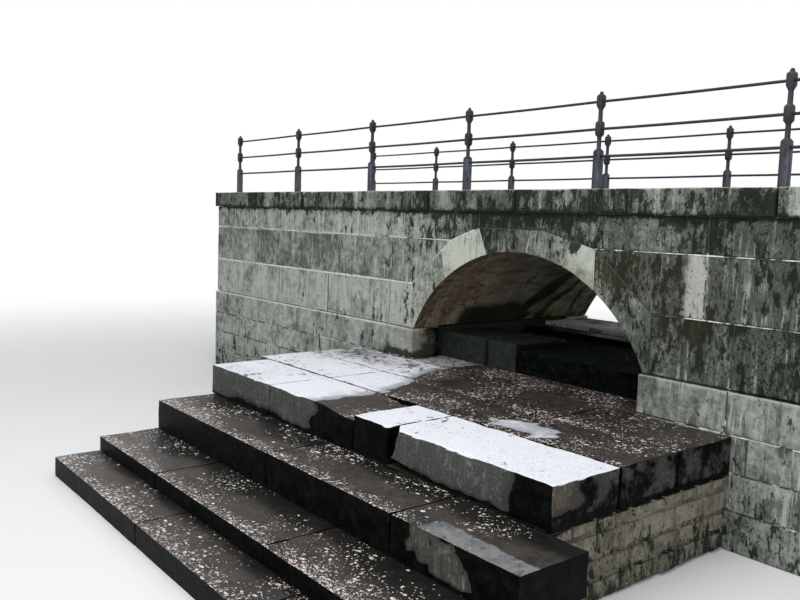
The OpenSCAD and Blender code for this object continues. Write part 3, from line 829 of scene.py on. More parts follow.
def ring_masks(stone):
    """The second and the fifth stone are pale, and the last one is mossy."""
    front_tone, front_moss, _ = RING_LOOK[stone]

    def at(p, n):
        front = p.y < MIDDLE_Y
        radial = math.hypot(p.x, p.z - ARCH_CZ) - ARCH_R
        depth = p.y if front else WIDTH - p.y
        under = smooth(-n.z, 0.25, 0.5)
        tone, moss = front_tone, front_moss
        if not front:
            tone, moss = 0.4 * front_tone - 0.1, 0.26 + 0.08 * (stone % 3)
        # Moss and painted shade on the undersides, near the front face and on the rear ring.
        hidden = 0.5 * smooth(depth, 0.1, 0.04) + 0.3 * (not front)
        moss += 0.14 * drift(p.x, p.z, 7.0, 1.8) + hidden * under
        rust = smooth(p.x, 0.4, -0.8) * under * front
        if stone == 2:
            moss += 0.3 * smooth(p.x, -0.25, -0.55)
        if stone == 4:
            moss += 0.8 * smooth(math.dist((p.x, p.z), (0.93, 3.06)), 0.15, 0.05) * front
            rust = max(rust, 0.6 * smooth(radial, 0.09, 0.02))
        if stone == 5 and front:
            high, low = smooth(p.z, 2.35, 2.75), smooth(p.z, 2.2, 1.9)
            inner = smooth(radial + 0.05 * drift(p.x, p.z, 3.0, 6.0), 0.16, 0.03)
            moss += 0.22 * high + 0.20 * low - 0.08 * inner
            tone += 0.2 * inner - 0.3 * low
            rust = max(rust, 0.5 * high * (1 - inner))
        lime = 0.5 * smooth(ring_top(p.x) - p.z, 0.05, 0.0) * (stone in (1, 4))
        return dict(tone=tone, moss=moss, wet=0.3 * under * (not front), rust=rust, lime=lime,
                    soffit=under * (0.2 + 0.8 * smooth(depth, 0.02, 0.46)))
    return at


# Left edge of the wet part of the apron, X and Y from the front row to the wall
WET_EDGE = ((-0.22, -1.86), (-0.36, -1.56), (-0.60, -1.03), (-0.74, -0.97), (-1.04, -0.32), (-1.05, 0.0))


def wet_share(x, y):
    """How wet the apron is at a place: round the mouth of the arch, and in a tongue to the front edge."""
    y_in = min(max(y, WET_EDGE[0][1]), WET_EDGE[-1][1])
    for (x0, y0), (x1, y1) in pairwise(WET_EDGE):
        if y0 <= y_in <= y1:
            edge = x0 + (x1 - x0) * (y_in - y0) / (y1 - y0)
            break
    pool = smooth(x, edge - 0.50, edge + 0.34) if y > ROW_1_Y - 0.004 else 0.0
    ragged = 0.6 * drift(x, y, 5.0, 3.2) + 0.5 * drift(x, y, 6.0, 9.0)
    patch = smooth(math.hypot((x - 1.66) / 0.42, (y + 1.62) / 0.22) + ragged, 1.5, 0.6)
    tongue = smooth(x, -0.80, 0.12) if x < WORN_SLAB[1] and y < ROW_1_Y else 0.0
    return max(pool * (1 - 0.72 * patch), tongue)


def slab_side_masks(x, y, z, n):
    """The slabs' sides, darkened as painted shade: black in the joints and along the middle, with a ragged
    wet foot.
    """
    # Painted shade: the sides in the joints are made black, and every side takes a low tone.
    if APRON_Y + 0.15 < y < -0.3 and APRON_LEFT + 0.1 < x < APRON_RIGHT - 0.1:
        return dict(tone=-1.6, moss=0.3, wet=1.0)
    foot = smooth(z, 0.93 + 0.16 * drift(x, y, 2.0, 1.7) + 0.04 * drift(x, y, 7.0, 8.0), 0.79)
    flow = smooth(x + 0.3 * drift(0.0, z, 5.0, 5.0), -0.62, -0.25) * (x < LONG_SLAB_X + 0.01)
    end = smooth(n.x, 0.3, 0.7)
    bare = end * smooth(y + 0.2 * drift(y, z, 2.0, 4.0), -2.35, -2.6) * smooth(z, 0.9, 1.0) * (x > 3.0)
    wet = max(flow, 0.80 * foot, smooth(x, 2.4, 2.95) * (1 - 0.5 * end)) * (1 - 0.75 * bare)
    return dict(tone=-1.58 + 0.22 * smooth(x, 0.9, 1.0) - 0.5 * bare, moss=0.18, rust=0.5 * bare, wet=wet)


def apron_masks(p, n):
    """Dry on the left and on the long slab, where the tops show a pale colour that is painted sunlight, and
    wet and littered round the mouth of the arch.
    """
    x, y, z = p
    if n.z < 0.5:
        return slab_side_masks(x, y, z, n)
    behind = smooth(y, -1.5, -0.3) * smooth(x, 0.4, -1.2) + 0.5 * smooth(x, -1.3, -2.0)
    wet = wet_share(x, y)
    joint = min(abs(y - ROW_1_Y), abs(y - ROW_2_Y))
    litter = smooth(wet, 0.35, 0.7) * (0.24 + 0.4 * smooth(joint, 0.14, 0.03) + 0.6 * drift(x, y, 1.0, 1.6))
    moss = 0.13 + 0.18 * behind + 0.14 * drift(x, y, 3.0, 1.2) + 0.15 * smooth(joint, 0.05, 0.0)
    # Painted sunlight: the tops take a high tone, towards the slabs' near white colour.
    return dict(tone=1.25 - 0.5 * behind, moss=moss, wet=wet, litter=litter + 0.14 * behind + 0.03)


def step_masks(p, n):
    """The steps are soaked, with litter on the treads, most of it along the nosings. The risers and the back
    of each tread are darkened as painted shade.
    """
    x, y, z = p
    back = y - NOSINGS[min(NOSINGS, key=lambda top: abs(top - z))]
    if n.z < 0.5:
        shift = 0.5 * drift(x, z, 6.0, 3.0) + 0.5 * drift(x, z, 4.0, 9.0)
        reach = math.hypot((x - 2.62 + 0.5 * (z - 0.66)) / 0.36, (z - 0.64) / 0.24)
        patch = smooth(reach + shift, 1.35, 0.6) * (z > 0.42)
        # Painted shade: the risers take a low tone.
        return dict(tone=-1.2, moss=0.2, rust=0.16 * patch, wet=1.0 - 0.85 * patch)
    edge = smooth(back, 0.26 + 0.1 * drift(x, 0.0, 4.0, 3.0), 0.04)
    litter = 0.26 + 0.66 * edge + 0.55 * drift(x, y, 2.0, 1.3) + 0.2 * drift(x, y, 9.0, 4.0)
    dry = smooth(x, 2.15, 2.5) * smooth(back, 0.42, 0.2) * (z > 0.45)
    # Painted shade: the back of each tread, under the step above, is darker.
    dark = smooth(back + 0.25 * drift(x, y, 3.0, 1.1), 0.24, 0.56)
    litter *= smooth(n.z, 0.5, 0.8) * (1 - 0.8 * dry)
    return dict(tone=0.1 - 0.75 * dark, moss=0.2, wet=1.0 - 0.62 * dry, litter=litter)


def weir_masks(p, n):
    """Clean wet blocks with a painted highlight along the arrises on the left, where they are also less wet,
    and a green sill.
    """
    sill = smooth(p.x, -0.45, -0.42)
    # Painted highlight: arrises that face half up are paler.
    arris = near(n.z - 0.6, 0.35, 0.1) * (1 - sill)
    return dict(tone=-1.6 + 0.5 * arris, moss=0.75 * sill, wet=1.0 - 0.3 * arris)


def bed_masks(p, n):
    """The bed is green and wet, and the threshold behind it is pale down to its dirty outlet."""
    last = smooth(p.y, 2.98, 3.01)
    slab = smooth(p.y, 2.50, 2.53) * (1 - last) * smooth(n.z, 0.2, 0.6)
    layers = 0.5 * math.sin(p.z * 150 + 2 * drift(p.x, p.y, 3.0, 3.0)) * smooth(n.z, 0.7, 0.3)
    outlet = smooth(p.y + 0.2 * drift(p.x, p.y, 6.0, 3.0), 3.45, 3.9)
    tone = -1.0 + 2.2 * last + layers - 1.5 * outlet
    wet = 1.0 - last - 0.5 * slab + 0.42 * outlet
    moss = 0.8 - 0.6 * max(last, slab) + 0.3 * outlet
    return dict(tone=tone, moss=moss, wet=wet, rust=0.5 * last, litter=0.08 + 0.2 * last)


def vault_masks(p, n):
    """Rusty at the front left, dark low down, and at the far end leaning bands of painted shade, given as
    wet, between patches of painted light with paler green growth.
    """
    inwards = smooth(p.y, 0.8, 2.8)
    front_left = smooth(p.y, 2.0, 0.8) * smooth(p.x, 0.2, -0.9)
    low = smooth(p.z + 0.1 * drift(p.x, p.y, 2.0, 2.0), 2.12, 1.82) * smooth(p.y, 0.6, 1.1)
    lean = p.y - 0.7 * (p.z - 1.74) + 0.15 * drift(p.y, p.z, 3.0, 3.0)
    # Painted light and shade at the far end: dark leaning bands, and paler patches between them.
    bands = max(near(lean - 2.35, 0.24, 0.12), near(lean - 2.85, 0.14, 0.07)) * smooth(p.z, 2.8, 2.4)
    bright = smooth(lean, 2.2, 2.5) * smooth(p.z, 2.6, 2.2) * smooth(drift(p.y, p.z, 4.0, 3.5), -0.3, 0.2)
    wet = max(0.85 * low * (1 - 0.7 * bright), 0.8 * bands, 0.36 * inwards)
    rust = front_left * smooth(p.z, 1.4, 1.7)
    return dict(tone=bright, moss=0.16 + 0.46 * inwards + 0.2 * bright, wet=wet, rust=rust)


def rubble_masks(p, n):
    under_slabs = smooth(p.y, -2.5, -2.7) * smooth(p.z, 0.7, 0.78) + smooth(p.z, 0.765, 0.79) * (p.y < 0)
    return dict(moss=0.25 + 0.3 * smooth(p.z, 0.5, 0.0), wet=min(1.0, under_slabs), lime=0.1)


def path_masks(p, n):
    return dict(moss=0.7 * smooth(min(p.y - 0.5, WIDTH - 0.5 - p.y), 0.5, 0.05))


# Walls

def set_back(x, z):
    """Each stone stands a little in front of or behind its neighbours."""
    return 0.0025 * (1 + math.sin(x * 12.9 + z * 78.2))


def spans(side, *edges):
    """Both ends of each stone between joints that lie this far to one side of the middle."""
    edges = (*edges, HALF_LENGTH + GAP)
    return [sorted((side * (a + GAP), side * (b - GAP))) for a, b in pairwise(edges)]


def plinth_piece(end, side, word, settings):
    pile = Pile(wall_masks)
    for joints, (bed, next_bed) in zip(PLINTH_JOINTS, pairwise(PLINTH_BEDS)):
        low_z = bed + (GAP if bed else 0.0)
        high_z = next_bed - (GAP if next_bed < SPRINGING_Z else 0.0)
        for x0, x1 in spans(side, IMPOST_X - GAP, *joints):
            out = -PLINTH_OUT + set_back(x0, low_z)
            pile.block((x0, out, low_z), (x1, WALL_T, high_z), **settings)
    pile.piece(f"{end}_plinth_{word}_stones", "wall_stone", f"{end}_plinth_{word}")


def side_wall_piece(end, side, word, settings):
    """The two courses beside the arch; the upper one begins with a stone cut to the back of the ring."""
    pile = Pile(wall_masks)
    low_z, high_z = SPRINGING_Z + GAP, LOWER_BED_Z - GAP
    for x0, x1 in spans(side, FOOT_BACK_X, *LOWER_JOINTS[side]):
        pile.block((x0, set_back(x0, 1.7), low_z), (x1, WALL_T, high_z), **settings)
    low_z, high_z = LOWER_BED_Z + GAP, UPPER_BED_Z - GAP
    haunch_end = side * (UPPER_JOINTS[side][0] - GAP)
    ends = [(side * (FOOT_BACK_X + GAP), side * (SHOULDER_X + GAP)), (haunch_end, haunch_end)]
    (low_0, high_0), (low_1, high_1) = sorted(ends)
    pile.loft(lambda s: between((low_0, low_z), (low_1, low_z), s),
              lambda s: between((high_0, high_z), (high_1, high_z), s),
              abs(high_1 - high_0), high_z - low_z, set_back(low_0, 2.4), WALL_T, **settings)
    for x0, x1 in spans(side, *UPPER_JOINTS[side]):
        pile.block((x0, set_back(x0, 2.4), low_z), (x1, WALL_T, high_z), **settings)
    pile.piece(f"{end}_wall_{word}_stones", "wall_stone", f"{end}_wall_{word}")


def top_course_piece(end, settings):
    """The course over the arch; its stones are cut to the top of the ring."""
    pile = Pile(wall_masks)
    height = COPING_Z - UPPER_BED_Z
    for a, b in pairwise((-HALF_LENGTH - GAP, *TOP_JOINTS, HALF_LENGTH + GAP)):
        x0, x1 = a + GAP, b - GAP
        corners = [x - x0 for x, _ in RING_OUTLINE if x0 + 0.1 < x < x1 - 0.1 and abs(x) < FOOT_BACK_X]

        def upper(s):
            return between((x0, COPING_Z), (x1, COPING_Z), s)

        def lower(s):
            x, _ = upper(s)
            return x, top_course_foot(x) + GAP

        pile.loft(lower, upper, x1 - x0, height, set_back(a, 3.1), WALL_T, extra=corners, **settings)
    pile.piece(f"{end}_top_course_stones", "wall_stone", f"{end}_top_course")


def coping_piece(end, flip):
    pile = Pile(coping_masks)
    length = (2 * HALF_LENGTH + JOINT) / COPING_STONES
    for i in range(COPING_STONES):
        low = (-HALF_LENGTH + i * length, -COPING_OUT + 0.004 * ((i * 7) % 3), COPING_Z)
        high = (low[0] + length - JOINT, WALL_T, COPING_TOP_Z)
        pile.block(low, high, flip=flip, step=(0.09, 0.12, 0.07), wear=0.017, chips=0.05, rough=0.005)
    pile.piece(f"{end}_coping_stones", "coping_stone", f"{end}_coping")


def wall_pieces(end, flip):
    settings = dict(flip=flip, sharp=("v1",), step=(0.10, 0.22, 0.085))
    for side, word in SIDES:
        plinth_piece(end, side, word, settings)
        side_wall_piece(end, side, word, settings)
    top_course_piece(end, settings)
    coping_piece(end, flip)


def ring_heads():
    """Where each joint of the ring ends at its outline: it is followed from the arc until it gets there."""
    heads = []
    for foot, head in RING_JOINTS:
        share = 0.0
        x, z = foot, on_arc(foot)
        while z < ring_top(x) and share < 1:
            share += 0.002
            x, z = between((foot, on_arc(foot)), (head, on_arc(head, ARCH_R + RING_DEPTH)), share)
        heads.append((x, z))
    return [(-FOOT_BACK_X, SPRINGING_Z), *heads, (FOOT_BACK_X, SPRINGING_Z)]


def ring_stones_piece(end, flip, heads):
    """The six stones of the ring, from the arc out to the outline."""
    feet = [-HALF_SPAN, *(foot for foot, _ in RING_JOINTS), HALF_SPAN]
    ring = Pile()
    for i in range(6):
        ring.masks = ring_masks(i)
        inside = [c for c in RING_OUTLINE if heads[i][0] + 0.03 < c[0] < heads[i + 1][0] - 0.03]
        inside = [RING_OUTLINE[0]] * (i == 0) + inside + [RING_OUTLINE[5]] * (i == 5)
        top, length, kinks = along([heads[i], *inside, heads[i + 1]])
        start, stop = [math.atan2(x, on_arc(x) - ARCH_CZ) for x in feet[i:i + 2]]
        turn = stop - start
        trim = 0.004 / (ARCH_R * turn)

        def trimmed(s):
            return trim + (1 - 2 * trim) * s

        def bottom(s):
            angle = start + turn * trimmed(s)
            return ARCH_R * math.sin(angle), ARCH_CZ + ARCH_R * math.cos(angle)

        ring.loft(bottom, lambda s: top(trimmed(s)), length, 0.4, 0.001 * (i % 3), WALL_T, flip=flip,
                  sharp=("v1",), step=(0.07, 0.09, 0.07), wear=0.008, chips=0.022, rough=0.003, extra=kinks,
                  tint=RING_LOOK[i][2])
    ring.piece(f"{end}_arch_stones", "ring_stone", f"{end}_arch_ring")


def ring_joints_piece(end, flip, heads):
    """A thin strip of mortar between each two stones of the ring."""
    joints = Pile(ring_masks(3))
    half = 0.009
    for (foot, _), head in zip(RING_JOINTS, heads[1:-1]):
        low = (foot, on_arc(foot))
        run = Vector((head[0] - low[0], head[1] - low[1]))
        across = Vector((run.y, -run.x)).normalized() * half

        def across_from(x, z, lift):
            return lambda s: (x + across.x * (2 * s - 1), z + across.y * (2 * s - 1) + lift)

        joints.loft(across_from(*low, 0.012), across_from(*head, -0.006), 2 * half, run.length, 0.006, WALL_T,
                    flip=flip, sharp=("v1",), step=(2 * half, 0.2, 0.03), wear=0.002, chips=0.004)
    joints.piece(f"{end}_ring_joints", "mortar", f"{end}_ring_mortar")


def ring_pieces(end, flip):
    heads = ring_heads()
    ring_stones_piece(end, flip, heads)
    ring_joints_piece(end, flip, heads)


def rim_joint(pile, back, settings):
    """The line of mortar round the outline of the ring."""
    edge, length, kinks = along([(-FOOT_BACK_X, SPRINGING_Z), *RING_OUTLINE, (FOOT_BACK_X, SPRINGING_Z)])
    centre = Vector((0.0, 1.4))

    def offset(amount):
        def at(s):
            p = Vector(edge(s))
            out = (p - centre).normalized() * amount
            return p.x + out.x, p.y + out.y
        return at

    pile.masks = rim_masks
    pile.loft(offset(-0.010), offset(0.012), length, 0.022, 0.0, back, extra=kinks, **settings)


def wall_joints(end, flip):
    """Mortar strips in the beds and the upright joints, partly fallen out."""
    pile = Pile(joint_masks)
    bar = dict(flip=flip, sharp=("v1",), wear=0.003, chips=0.006, rough=0.004, step=(0.05, 0.3, 0.02))
    half, back = 0.011, 0.2
    far = HALF_LENGTH * 0.999

    def upright(x, y, z0, z1):
        pile.block((x - half, y, z0), (x + half, back, z1), **dict(bar, step=(0.02, 0.3, 0.05)))

    for side, _ in SIDES:
        for z, x_in in ((LOWER_BED_Z, FOOT_BACK_X), (UPPER_BED_Z, SHOULDER_X)):
            x0, x1 = sorted((side * x_in, side * far))
            smear = 0.006 if side < 0 and z == LOWER_BED_Z else 0.0
            pile.block((x0, -0.001 - 0.4 * smear, z - half - smear), (x1, back, z + half + smear), **bar)
        for z in PLINTH_BEDS[1:4]:
            x0, x1 = sorted((side * (IMPOST_X + 0.01), side * far))
            pile.block((x0, -PLINTH_OUT + 0.008, z - half), (x1, back, z + half), **bar)
        for joints, (bed, next_bed) in zip(PLINTH_JOINTS, pairwise(PLINTH_BEDS)):
            for x in joints:
                upright(side * x, -PLINTH_OUT + 0.010, bed + 0.004, next_bed - 0.006)
        for x in LOWER_JOINTS[side]:
            upright(side * x, 0.008, SPRINGING_Z, LOWER_BED_Z)
        for x in UPPER_JOINTS[side]:
            upright(side * x, 0.008, LOWER_BED_Z, UPPER_BED_Z)
    for x in TOP_JOINTS:
        upright(x, 0.010, top_course_foot(x), COPING_Z)
    pile.block((-far, 0.012, COPING_Z - half), (far, WALL_T - 0.01, COPING_Z + half), **bar)
    rim_joint(pile, back, dict(bar, sharp=()))
    pile.piece(f"{end}_wall_joints", "mortar")


# Inside the arch, and the filling

def vault_piece():
    """The barrel: long courses of stone with thin render over them."""
    pile = Pile(vault_masks)
    reach = math.atan2(VAULT_FOOT_X, SPRINGING_Z - ARCH_CZ)
    courses, thick, joint = 13, 0.28, 0.003
    turn = 2 * reach / courses
    for c in range(courses):
        joints = (1.35 + 0.35 * (c % 2), 2.5 + 0.3 * (c % 3 == 1))
        for y0, y1 in pairwise((WALL_T, *joints, WIDTH - WALL_T)):
            lift = 0.001 + 0.003 * ((c * 5 + round(y0 * 3)) % 3)

            def place(p):
                angle = -reach + 2 * reach * c / courses + p.x / VAULT_R
                radius = VAULT_R + lift + p.z
                return Vector((radius * math.sin(angle), y0 + p.y, ARCH_CZ + radius * math.cos(angle)))

            size = Vector((turn * VAULT_R - joint, y1 - y0 - joint, thick))
            pile.stone(size, place, step=(0.07, 0.085, thick), wear=0.007, rough=0.006, sharp=("w1",),
                       seed=c + y0, tint=0.0)
    pile.piece("vault_courses", "vault_render", "barrel_vault")


def abutment_pieces():
    for side, word in SIDES:
        pile = Pile(lambda p, n: dict(moss=0.4, wet=0.85))
        x0, x1 = sorted((side * VAULT_FOOT_X, side * (VAULT_FOOT_X + ABUTMENT_T)))
        for z0, z1, *joints in ((0.0, BASE_Z, 2.1), (BASE_Z, 1.25, 1.5, 2.6), (1.25, SPRINGING_Z, 1.9, 2.8)):
            for y0, y1 in pairwise((WALL_T, *joints, WIDTH - WALL_T)):
                pile.block((x0, y0 + 0.003, z0), (x1, y1 - 0.003, z1 - GAP), step=(0.35, 0.11, 0.1),
                           sharp=("u0" if side < 0 else "u1",))
        pile.piece(f"{word}_abutment_stones", "vault_render", f"{word}_abutment")


def rubble_face(pile, place, width, height, depth, course, seed):
    """Rough stones in uneven courses over a face: place takes a point across, in and up."""
    rng = random.Random(seed)
    z = 0.0
    while z < height - 0.05:
        rise = min(height - z, course * rng.uniform(0.75, 1.2))
        if height - z - rise < course * 0.5:
            rise = height - z
        x = 0.0
        while x < width - 0.01:
            run = rise * rng.uniform(1.1, 2.4)
            if width - x - run < rise * 0.7:
                run = width - x
            back = rng.uniform(0.0, 0.02)
            origin = Vector((x + JOINT, back, z + JOINT))
            size = Vector((run - 2 * JOINT, depth - back, rise - 2 * JOINT))
            pile.stone(size, lambda p: place(origin + p), step=(0.1, depth, 0.1), wear=0.03, chips=0.07,
                       rough=0.012, sharp=("v1",), seed=seed + x + z * 7)
            x += run
        z += rise


def side_face(pile, x, inwards, y, *sizes):
    """A rough face that looks along X: inwards is 1 or -1."""
    rubble_face(pile, lambda p: Vector((x + inwards * p.y, y + p.x, p.z)), *sizes)


def core(pile, low, high):
    """A plain core behind the stones of a rough face."""
    pile.block(low, high, step=1.0, wear=0.004, chips=0.0, rough=0.002, tint=-0.4)


def filling_pieces():
    for side, word in SIDES:
        pile = Pile(rubble_masks)
        x0, x1 = sorted((side * (VAULT_FOOT_X + ABUTMENT_T), side * (HALF_LENGTH - 0.035)))
        core(pile, (x0, WALL_T, 0.0), (x1, WIDTH - WALL_T, PATH_Z - 0.005))
        sizes = (WIDTH - 2 * WALL_T, PATH_Z - 0.01, 0.1, 0.27)
        side_face(pile, side * (HALF_LENGTH - 0.003), -side, WALL_T, *sizes, 5 + side)
        pile.piece(f"{word}_filling", "rubble", f"{word}_fill")


# The rubble ends this far below the stones that it carries
RUBBLE_GAP = 0.003
BASE_TOP_Z = BASE_Z - RUBBLE_GAP

# Height of a rough face under the apron and the arch, depth of its stones, and rise of their courses
BASE_FACE = (BASE_TOP_Z, 0.12, 0.26)


def apron_base_piece():
    pile = Pile(rubble_masks)
    core(pile, (APRON_LEFT + 0.06, APRON_Y, 0.0), (APRON_RIGHT - 0.06, -PLINTH_OUT, BASE_TOP_Z))
    core(pile, (APRON_BACK_LEFT + 0.06, ROW_1_Y, 0.0), (APRON_LEFT + 0.2, -PLINTH_OUT, BASE_TOP_Z))
    for x, inwards, y0, y1, seed in ((APRON_RIGHT, -1, APRON_Y, -PLINTH_OUT, 21),
                                     (APRON_BACK_LEFT, 1, ROW_1_Y, -PLINTH_OUT, 22),
                                     (APRON_LEFT, 1, APRON_Y, ROW_1_Y, 23)):
        side_face(pile, x + 0.002 * inwards, inwards, y0, y1 - y0, *BASE_FACE, seed)
    rubble_face(pile, lambda p: Vector((APRON_BACK_LEFT + p.x, ROW_1_Y + 0.002 + p.y, p.z)),
                APRON_LEFT - APRON_BACK_LEFT + 0.1, *BASE_FACE, 24)
    pile.piece("apron_base", "rubble", "apron_foundation")


def steps_base_piece():
    pile = Pile(rubble_masks)
    steps = ((LOWER_STEP_BACK, MIDDLE_STEP_BACK, LOWER_STEP_Z - RUBBLE_GAP, 0.237),
             (MIDDLE_STEP_BACK, APRON_Y, MIDDLE_STEP_Z - RUBBLE_GAP, 0.21))
    for y0, _, top, _ in steps:
        core(pile, (STEP_LEFT + 0.064, y0, 0.0), (STEP_RIGHT - 0.064, APRON_Y, top))
    for x, inwards, seeds in ((STEP_LEFT + 0.006, 1, (31, 35)), (STEP_RIGHT - 0.006, -1, (32, 36))):
        for (y0, y1, top, course), seed in zip(steps, seeds):
            side_face(pile, x, inwards, y0, y1 - y0, top, 0.1, course, seed)
    pile.piece("steps_base", "rubble", "step_foundation")


def arch_base_piece():
    pile = Pile(rubble_masks)
    core(pile, (-VAULT_FOOT_X, WALL_T, 0.0), (VAULT_FOOT_X, WIDTH - WALL_T, BASE_TOP_Z))
    core(pile, (-IMPOST_X, -PLINTH_OUT, 0.0), (IMPOST_X, WALL_T + 0.01, BASE_TOP_Z))
    core(pile, (-IMPOST_X, WIDTH - WALL_T - 0.01, 0.0), (IMPOST_X, WIDTH - 0.02, BASE_TOP_Z))
    rear_y = WIDTH + PLINTH_OUT - 0.002
    rubble_face(pile, lambda p: Vector((-IMPOST_X + p.x, rear_y - p.y, p.z)), 2 * IMPOST_X, *BASE_FACE, 41)
    pile.piece("arch_base", "rubble", "arch_foundation")


def loose_stones(pile, count, surface):
    """Small stones strewn over the path, most of them along its edges: surface gives its height."""
    rng = random.Random(12)
    shape = bmesh.new()
    bmesh.ops.create_icosphere(shape, subdivisions=1, radius=1.0)
    ball = [v.co.copy() for v in shape.verts]
    sides = [[v.index for v in f.verts] for f in shape.faces]
    shape.free()
    reach, edge, thickest = HALF_LENGTH - 0.15, WALL_T + 0.06, WALL_T + 0.12
    for _ in range(count):
        x = rng.uniform(-reach, reach)
        y = rng.triangular(edge, WIDTH - edge, rng.choice((thickest, WIDTH - thickest)))
        r = rng.uniform(0.008, 0.022)
        z = surface(x, y) - 0.006
        spin = Matrix.Rotation(rng.uniform(0, 6.28), 3, "Z")
        squash = Vector((rng.uniform(0.8, 1.3), rng.uniform(0.7, 1.1), rng.uniform(0.45, 0.7)))
        start = len(pile.verts)
        for v in ball:
            pile.point(Vector((x, y, z)) + spin @ (v * squash) * r * rng.uniform(0.85, 1.1))
        pile.faces.extend([[start + i for i in side] for side in sides])


def footway_piece():
    """Rolled gravel, higher in the middle, with loose stones on it."""
    width = WIDTH - 2 * WALL_T
    thick, flat, crown = 0.18, 0.135, 0.045
    pile = Pile(path_masks)

    def place(p):
        share = 1 - smooth(abs(p.y / width - 0.5), 0.18, 0.5)
        return Vector((-HALF_LENGTH + p.x, WALL_T + p.y, PATH_Z + p.z * (flat + crown * share) / thick))

    pile.stone(Vector((2 * HALF_LENGTH, width, thick)), place, step=(0.11, 0.1, thick), wear=0.004, chips=0.0,
               rough=0.008, sharp=("w0",), seed=3, tint=0.0)
    loose_stones(pile, 1500, lambda x, y: place(Vector((x + HALF_LENGTH, y - WALL_T, thick))).z)
    pile.piece("gravel_path", "gravel", "footway")


# Apron, steps and weir

def worn_edge(p, at):
    """A dish across the worn slab."""
    if WORN_SLAB[0] < at.x < WORN_SLAB[1] and p.z > 0.2:
        dish = 0.045 * (1 - min(1.0, abs(at.x - 0.28) / 0.48) ** 2)
        front = 1 + 0.25 * smooth(at.y, -2.6, -2.8)
        p.z -= dish * front * smooth(p.z, 0.2, 0.4)
    return p


# The break across the corner of the long slab: where it meets both edges, its length and its slope
BREAK_X, BREAK_Y, BREAK_LENGTH = 0.2, 0.17, 0.2625
BREAK_SLOPE = math.tan(math.radians(13))


def broken_slab(p, at):
    """A leaning break across the left front corner of the long slab, and a piece gone under it."""
    x, y, z = p
    jag = 0.012 * noise.noise(at * 9) + 0.006 * noise.noise(at * 25)
    reach = (BREAK_X * BREAK_Y - x * BREAK_Y - y * BREAK_X) / BREAK_LENGTH - (0.4 - z) * BREAK_SLOPE + jag
    if reach > 0:
        p.x += reach * 0.65
        p.y += reach * 0.76
    if y < 0.25:
        rise = 0.09 * smooth(x, 0.7, 0.05) * smooth(y, 0.25, 0.12)
        p.z = max(p.z, rise + jag * 0.5 * (rise > 0.01))
    return p


def worn_corner(p, at):
    """The front corner of the middle block beside the sill is worn round."""
    radius = 0.16
    out = Vector((at.x, at.y)) - Vector((SILL_X - radius, WEIR_Y + radius))
    if out.x > 0 and out.y < 0 and out.length > radius:
        back = out * (radius / out.length - 1)
        p.x += back.x
        p.y += back.y
    return p


# How finely a slab is meshed, and how worn it is
SLAB = dict(step=(0.06, 0.075, 0.06), wear=0.013, chips=0.075, rough=0.005, sharp=("w0",))


def slab_row(pile, edges, y0, y1, z0, z1, gap=JOINT, **settings):
    """A row of slabs between the joints at the edges."""
    for a, b in pairwise(edges):
        pile.block((a + gap / 2, y0, z0), (b - gap / 2, y1, z1), **(SLAB | settings))


def apron_pieces():
    left, right = APRON_BACK_LEFT - GAP, APRON_RIGHT + GAP
    for word, joints, y0, y1, top in (("back", (-1.24, 1.60), ROW_2_Y, -PLINTH_OUT, APRON_Z - 0.003),
                                      ("middle", (-1.43, 1.37), ROW_1_Y, ROW_2_Y - JOINT, APRON_Z)):
        pile = Pile(apron_masks)
        slab_row(pile, (left, *joints, right), y0, y1, BASE_Z, top)
        pile.piece(f"apron_{word}_slabs", "slab_stone", f"apron_{word}_row")
    front = Pile(apron_masks)
    start = LONG_SLAB_X - GAP
    sides = (APRON_Y, ROW_1_Y - 0.022, BASE_Z, APRON_Z)
    slab_row(front, (APRON_LEFT - GAP, *WORN_SLAB, start), *sides, shape=worn_edge)
    slab_row(front, (start, right), *sides, shape=broken_slab, step=(0.05, 0.05, 0.04))
    front.piece("apron_front_slabs", "slab_stone", "apron_front_row")


def step_pieces():
    for word, joints, y1, z0, z1 in (("upper", (-0.06, 2.05), APRON_Y, MIDDLE_STEP_Z, BASE_Z),
                                     ("middle", (-1.15, 1.25), MIDDLE_STEP_BACK, LOWER_STEP_Z, MIDDLE_STEP_Z),
                                     ("lower", (-0.30, 1.90), LOWER_STEP_BACK, 0.0, LOWER_STEP_Z)):
        pile = Pile(step_masks)
        slab_row(pile, (STEP_LEFT, *joints, STEP_RIGHT), NOSINGS[z1], y1, z0, z1, gap=0.003, wear=0.011,
                 chips=0.045, rough=0.006)
        pile.piece(f"{word}_step_stones", "wet_stone", f"{word}_step")


def flat_piece(name, slot, node, masks, z1, boxes, **settings):
    """Blocks from the foundation up to one level, each box with its ends in X and Y."""
    pile = Pile(masks)
    for x0, x1, y0, y1 in boxes:
        pile.block((x0, y0, BASE_Z), (x1, y1, z1), sharp=("w0",), **(dict(step=0.08) | settings))
    pile.piece(name, slot, node)


def flat_row(y0, y1, *edges):
    """Boxes for a row of blocks between the joints at the edges."""
    return [(a + GAP / 2, b - GAP / 2, y0, y1) for a, b in pairwise(edges)]


def arch_floor_piece():
    """The floor in the mouth of the arch."""
    slabs = flat_row(-PLINTH_OUT + GAP, WALL_T, -IMPOST_X, -0.55, 0.9, IMPOST_X)
    slabs.append((-VAULT_FOOT_X, VAULT_FOOT_X, WALL_T + GAP / 2, WEIR_Y))
    flat_piece("arch_floor_slabs", "wet_stone", "arch_floor", apron_masks, APRON_Z - GAP, slabs)


